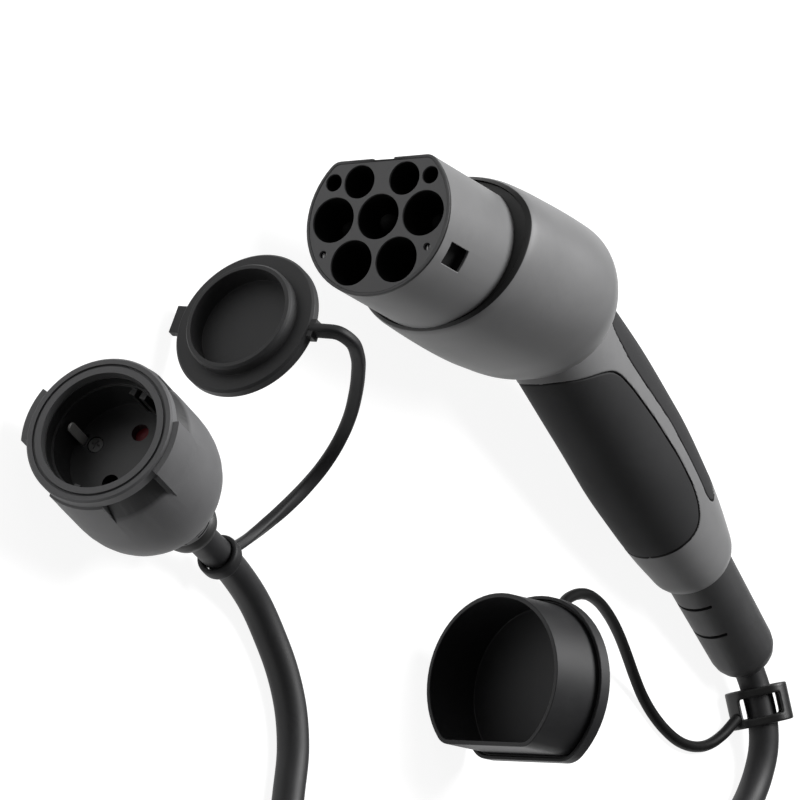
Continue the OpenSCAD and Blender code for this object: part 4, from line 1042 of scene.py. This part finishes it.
class ADAPTER_OT_grips(bpy.types.Operator):
    """Two soft grips with rolled edges, each laid between its own edge on the two sides of the handle"""

    bl_idname = "adapter.grips"
    bl_label = "Grips"

    def execute(self, context):
        for name, (_, base) in GRIPS.items():
            self.grip(name + "_grip_skin", name + "_grip", *grip_edge(name), base)
        return {"FINISHED"}

    def grip(self, name, node, edge_s, edge_angle, base):
        """Rows run from edge to edge over the base line. At the edge the skin drops in a quarter circle."""
        rows = len(edge_s)
        base_s = np.linspace(edge_s[0], edge_s[-1], rows)
        share = 1 - (1 - np.linspace(0, 1, GRIP_COUNT)) ** EDGE_CLOSER
        s = base_s[:, None] + (edge_s - base_s)[:, None] * share
        angle = base + (edge_angle - base)[:, None] * share
        p = handle_point(s, angle)
        step = np.linalg.norm(np.diff(p, axis=1), axis=2)
        gap = np.concatenate([np.cumsum(step[:, ::-1], axis=1)[:, ::-1], np.zeros((rows, 1))], axis=1)
        near = np.where(gap < NO_DISTANCE, 0, nearest(p, finer(p[:, -1])))
        roll, seam = sizes().grip_roll / MM, sizes().seam_width / MM
        x = np.clip((near - seam) / roll, 0, 1)
        sink = GRIP_SUNK + roll * (1 - np.sqrt(1 - (1 - x) ** 2))
        sink += GRIP_GROOVE * np.clip(1 - near / seam, 0, 1)
        top, under = (self.both_sides(handle_point(s, angle, depth)) for depth in (sink, GRIP_UNDER))
        columns = top.shape[1]
        n = rows * columns
        rim = np.concatenate([np.arange(columns), np.arange(1, rows) * columns + columns - 1,
                              (rows - 1) * columns + np.arange(columns - 2, -1, -1),
                              np.arange(rows - 2, 0, -1) * columns])
        ahead = np.roll(rim, -1)
        wall = np.stack([rim, rim + n, ahead + n, ahead], axis=1)
        sheet = grid_faces(rows, columns, closed=False)
        faces = np.concatenate([sheet, sheet[:, ::-1] + n, wall])
        vertices = np.concatenate([top.reshape(-1, 3), under.reshape(-1, 3)])
        mesh = bpy.data.meshes.new(name)
        mesh.from_pydata((placed(PLUG, vertices) * MM).tolist(), [], faces.tolist())
        bm = bmesh.new()
        bm.from_mesh(mesh)
        bmesh.ops.remove_doubles(bm, verts=bm.verts, dist=GRIP_WELD)
        bmesh.ops.recalc_face_normals(bm, faces=bm.faces)
        bm.to_mesh(mesh)
        bm.free()
        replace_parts(dressed(name, smoothed(mesh, SOFT_ANGLE), "soft grip rubber"), node)

    def both_sides(self, right):
        """Rows of points on the right side, from the base line outwards, joined to their mirror image."""
        return np.concatenate([(right * [1, -1, 1])[:, ::-1], right[:, 1:]], axis=1)


class ADAPTER_OT_plug_front(bpy.types.Operator):
    """Nose barrel, contact insert, sealing ring and the two insert screws"""

    bl_idname = "adapter.plug_front"
    bl_label = "Plug front"

    def execute(self, context):
        rim = -sizes().crisp_edge / MM
        # the barrel's front edge is coloured like the insert, and the band behind it is painted black as a
        # painted shadow line between face and barrel
        for tint, reach in ((colours().hollow, rim - FRONT_SHADOW_LINE), (colours().insert, rim)):
            laid_over("nose moulding", tint, "Past a limit", **ahead_of(PLUG, -BACKWARD, reach))
        softened("plug_nose", "nose_barrel", "crisp_edge", "nose moulding")
        # painted shade: past this depth the insert is black, inside its contact holes
        laid_over("insert moulding", colours().hollow, "Past a limit", **ahead_of(PLUG, BACKWARD, HOLE_SHADE))
        softened("contact_insert", "contact_face", "crisp_edge", "insert moulding")
        softened("ring_seal", "sealing_ring", "crisp_edge", "seal rubber")
        softened("insert_screws", "insert_screw_heads", "small_edge", "screw steel")
        return {"FINISHED"}


class ADAPTER_OT_contacts(bpy.types.Operator):
    """Contact pins and their insulating tips"""

    bl_idname = "adapter.contacts"
    bl_label = "Contacts"

    def execute(self, context):
        for node in ("pe_pin", "phase_pin", "neutral_pin", "pilot_pin", "proximity_pin"):
            softened(node, node + "_turned", "small_edge", "turned contact metal")
        softened("pin_tips", "insulating_tips", "small_edge", "tip moulding")
        return {"FINISHED"}


class ADAPTER_OT_boot(bpy.types.Operator):
    """Cable boot with its bend slots, and the clamp, screws and coding board inside the handle"""

    bl_idname = "adapter.boot"
    bl_label = "Boot and inner pieces"

    def execute(self, context):
        softened("cable_boot", "bend_boot", "crisp_edge", "boot rubber")
        softened("cord_clamp", "clamp_bar", "crisp_edge", "inner moulding")
        softened("clamp_screws", "clamp_screw_set", "small_edge", "screw steel")
        softened("coding_board", "coding_board_set", "small_edge", "board laminate")
        return {"FINISHED"}


class ADAPTER_OT_cap(bpy.types.Operator):
    """Dust cap with its lipped flange and the boss that holds the tether"""

    bl_idname = "adapter.cap"
    bl_label = "Dust cap"

    def execute(self, context):
        softened("plug_cap", "dust_cap", "crisp_edge", "cap rubber")
        return {"FINISHED"}


# Clip
CLIP_WIDE, CLIP_LEN, CLIP_WALL, CLIP_ROLL = 22.6, 13.6, 1.5, 52.0
CLIP_WINDOW = (7.4, 14.6)
# extra rows and columns that keep the window's and the ends' edges tight when the sheet is subdivided
CLIP_TIGHT, CLIP_MIDDLE = 0.9, 1.3
# points on a half circle and on a straight run, and how often the sheet is subdivided
CLIP_TURN, CLIP_RUN, CLIP_LEVELS = 21, 9, 2


class ADAPTER_OT_clip(bpy.types.Operator):
    """Clip on the cable: an oblong rubber band with a window on each side and rounded edges"""

    bl_idname = "adapter.clip"
    bl_label = "Tether clip"

    def execute(self, context):
        """Each row of the sheet is two straight runs joined by half circles. Solidify gives it the wall."""
        run = CLIP_WIDE / 2 - (CABLE_R + CLIP_WALL)
        radius = CABLE_R + CLIP_WALL / 2
        turn = np.linspace(LOWEST, HIGHEST, CLIP_TURN)
        straight = np.linspace(-run, run, CLIP_RUN)[1:-1]
        level = np.full(len(straight), radius)
        y = np.concatenate([run + radius * np.cos(turn), -straight, -run - radius * np.cos(turn), straight])
        z = np.concatenate([radius * np.sin(turn), level, -radius * np.sin(turn), -level])
        end, window = CLIP_LEN / 2, CLIP_WINDOW[0] / 2
        right = np.array([CLIP_MIDDLE, window, window + CLIP_TIGHT, end - CLIP_TIGHT, end])
        x = np.concatenate([-right[::-1], right])
        sheet = np.stack(np.broadcast_arrays(x[:, None], y[None], z[None]), axis=-1).reshape(-1, 3)
        faces = grid_faces(len(x), len(y))
        middle = np.abs(sheet[faces].mean(axis=1))
        holes = (middle[:, 0] < window) & (middle[:, 1] < CLIP_WINDOW[1] / 2)
        first, second = np.array(CABLE_LOOP[:2])
        way = math.degrees(math.atan2(second[1] - first[1], second[0] - first[0]))
        place = (MIDDLE + (first + second) / 2, turned(Z, way) @ turned(X, CLIP_ROLL))
        mesh = bpy.data.meshes.new("tether_clip")
        mesh.from_pydata((placed(place, sheet) * MM).tolist(), [], faces[~holes].tolist())
        obj = bpy.data.objects.new("tether_clip", mesh)
        context.scene.collection.objects.link(obj)
        thick = obj.modifiers.new("wall", "SOLIDIFY")
        thick.thickness, thick.offset = CLIP_WALL * MM, 0.0
        obj.modifiers.new("rounding", "SUBSURF").levels = CLIP_LEVELS
        clip = dressed("tether_clip", smoothed(applied(obj), SOFT_ANGLE), "clip rubber")
        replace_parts(clip, "cap_clip")
        return {"FINISHED"}


# Socket
# start of the strain relief behind the socket's mouth, and length of its grey part
RELIEF_START, RELIEF_GREY = 58.0, 12.7
RELIEF_DARK = (0.016, 0.016, 0.016)
# depths between which the socket's grip pockets lie, and the radius under which their floor is painted dark
# as painted shade
POCKET_START, POCKET_END, POCKET_RADIUS = 4.0, 16.0, 25.7


class ADAPTER_OT_socket(bpy.types.Operator):
    """Household socket: body, insert, base, earth clip, sleeves, shutter, screw, ring and strain relief"""

    bl_idname = "adapter.socket"
    bl_label = "Household socket"

    def execute(self, context):
        # painted shade on the floor of the socket body's grip pockets
        laid_over("socket rubber", colours().pocket_shade, "Under a radius", Origin=tuple(SOCKET[0] * MM),
                  Axis=tuple(SOCKET[1] @ BACKWARD), Start=POCKET_START * MM, End=POCKET_END * MM,
                  Radius=POCKET_RADIUS * MM)
        softened("socket_body", "socket_outer", "soft_edge", "socket rubber")
        softened("socket_insert", "socket_face", "crisp_edge", "socket face moulding")
        softened("insert_base", "socket_base", "crisp_edge", "inner moulding")
        softened("earth_clip", "earth_fingers", "small_edge", "spring metal")
        softened("contact_sleeves", "brass_sleeves", "small_edge", "sleeve brass")
        softened("pin_shutter", "shutter_rotor", "small_edge", "shutter red", body="shutter")
        softened("face_screw", "face_screw_head", "small_edge", "dark screw")
        softened("clamp_ring", "clamping_ring", "soft_edge", "socket face moulding")
        laid_over("relief moulding", RELIEF_DARK, "Past a limit",
                  **ahead_of(SOCKET, BACKWARD, RELIEF_START + RELIEF_GREY))
        softened("strain_relief", "slotted_relief", "crisp_edge", "relief moulding")
        return {"FINISHED"}


class ADAPTER_OT_lid(bpy.types.Operator):
    """Round splash lid with its raised inner ring and pull tab"""

    bl_idname = "adapter.lid"
    bl_label = "Socket lid"

    def execute(self, context):
        softened("socket_lid", "splash_lid", "soft_edge", "lid rubber")
        return {"FINISHED"}


class ADAPTER_PT_panel(bpy.types.Panel):
    """Lists the steps in the order in which they are made"""

    bl_idname = "ADAPTER_PT_panel"
    bl_label = "Charging Adapter"
    bl_space_type = "VIEW_3D"
    bl_region_type = "UI"
    bl_category = "Adapter"

    def draw(self, context):
        for kind in STEPS:
            self.layout.operator(kind.bl_idname)
        scene = context.scene
        for settings in (scene.adapter_sizes, scene.adapter_colours, scene.adapter_light):
            column = self.layout.column(align=True)
            for key in settings.__annotations__:
                column.prop(settings, key)


STEPS = (ADAPTER_OT_stage, ADAPTER_OT_cords, ADAPTER_OT_head, ADAPTER_OT_handle, ADAPTER_OT_grips,
         ADAPTER_OT_plug_front, ADAPTER_OT_contacts, ADAPTER_OT_boot, ADAPTER_OT_cap, ADAPTER_OT_clip,
         ADAPTER_OT_socket, ADAPTER_OT_lid)
CLASSES = (AdapterSizes, AdapterColours, AdapterLight) + STEPS + (ADAPTER_PT_panel,)


def register():
    """Registers the classes and puts the settings on the scene."""
    for kind in CLASSES:
        bpy.utils.register_class(kind)
    bpy.types.Scene.adapter_sizes = bpy.props.PointerProperty(type=AdapterSizes)
    bpy.types.Scene.adapter_colours = bpy.props.PointerProperty(type=AdapterColours)
    bpy.types.Scene.adapter_light = bpy.props.PointerProperty(type=AdapterLight)


def unregister():
    """Takes the settings and the classes away again."""
    del bpy.types.Scene.adapter_light
    del bpy.types.Scene.adapter_colours
    del bpy.types.Scene.adapter_sizes
    for kind in reversed(CLASSES):
        bpy.utils.unregister_class(kind)


def build_adapter():
    """Registers the add-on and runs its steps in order."""
    register()
    for kind in STEPS:
        module, step = kind.bl_idname.split(".")
        getattr(getattr(bpy.ops, module), step)()


if __name__ == "__main__":
    build_adapter()
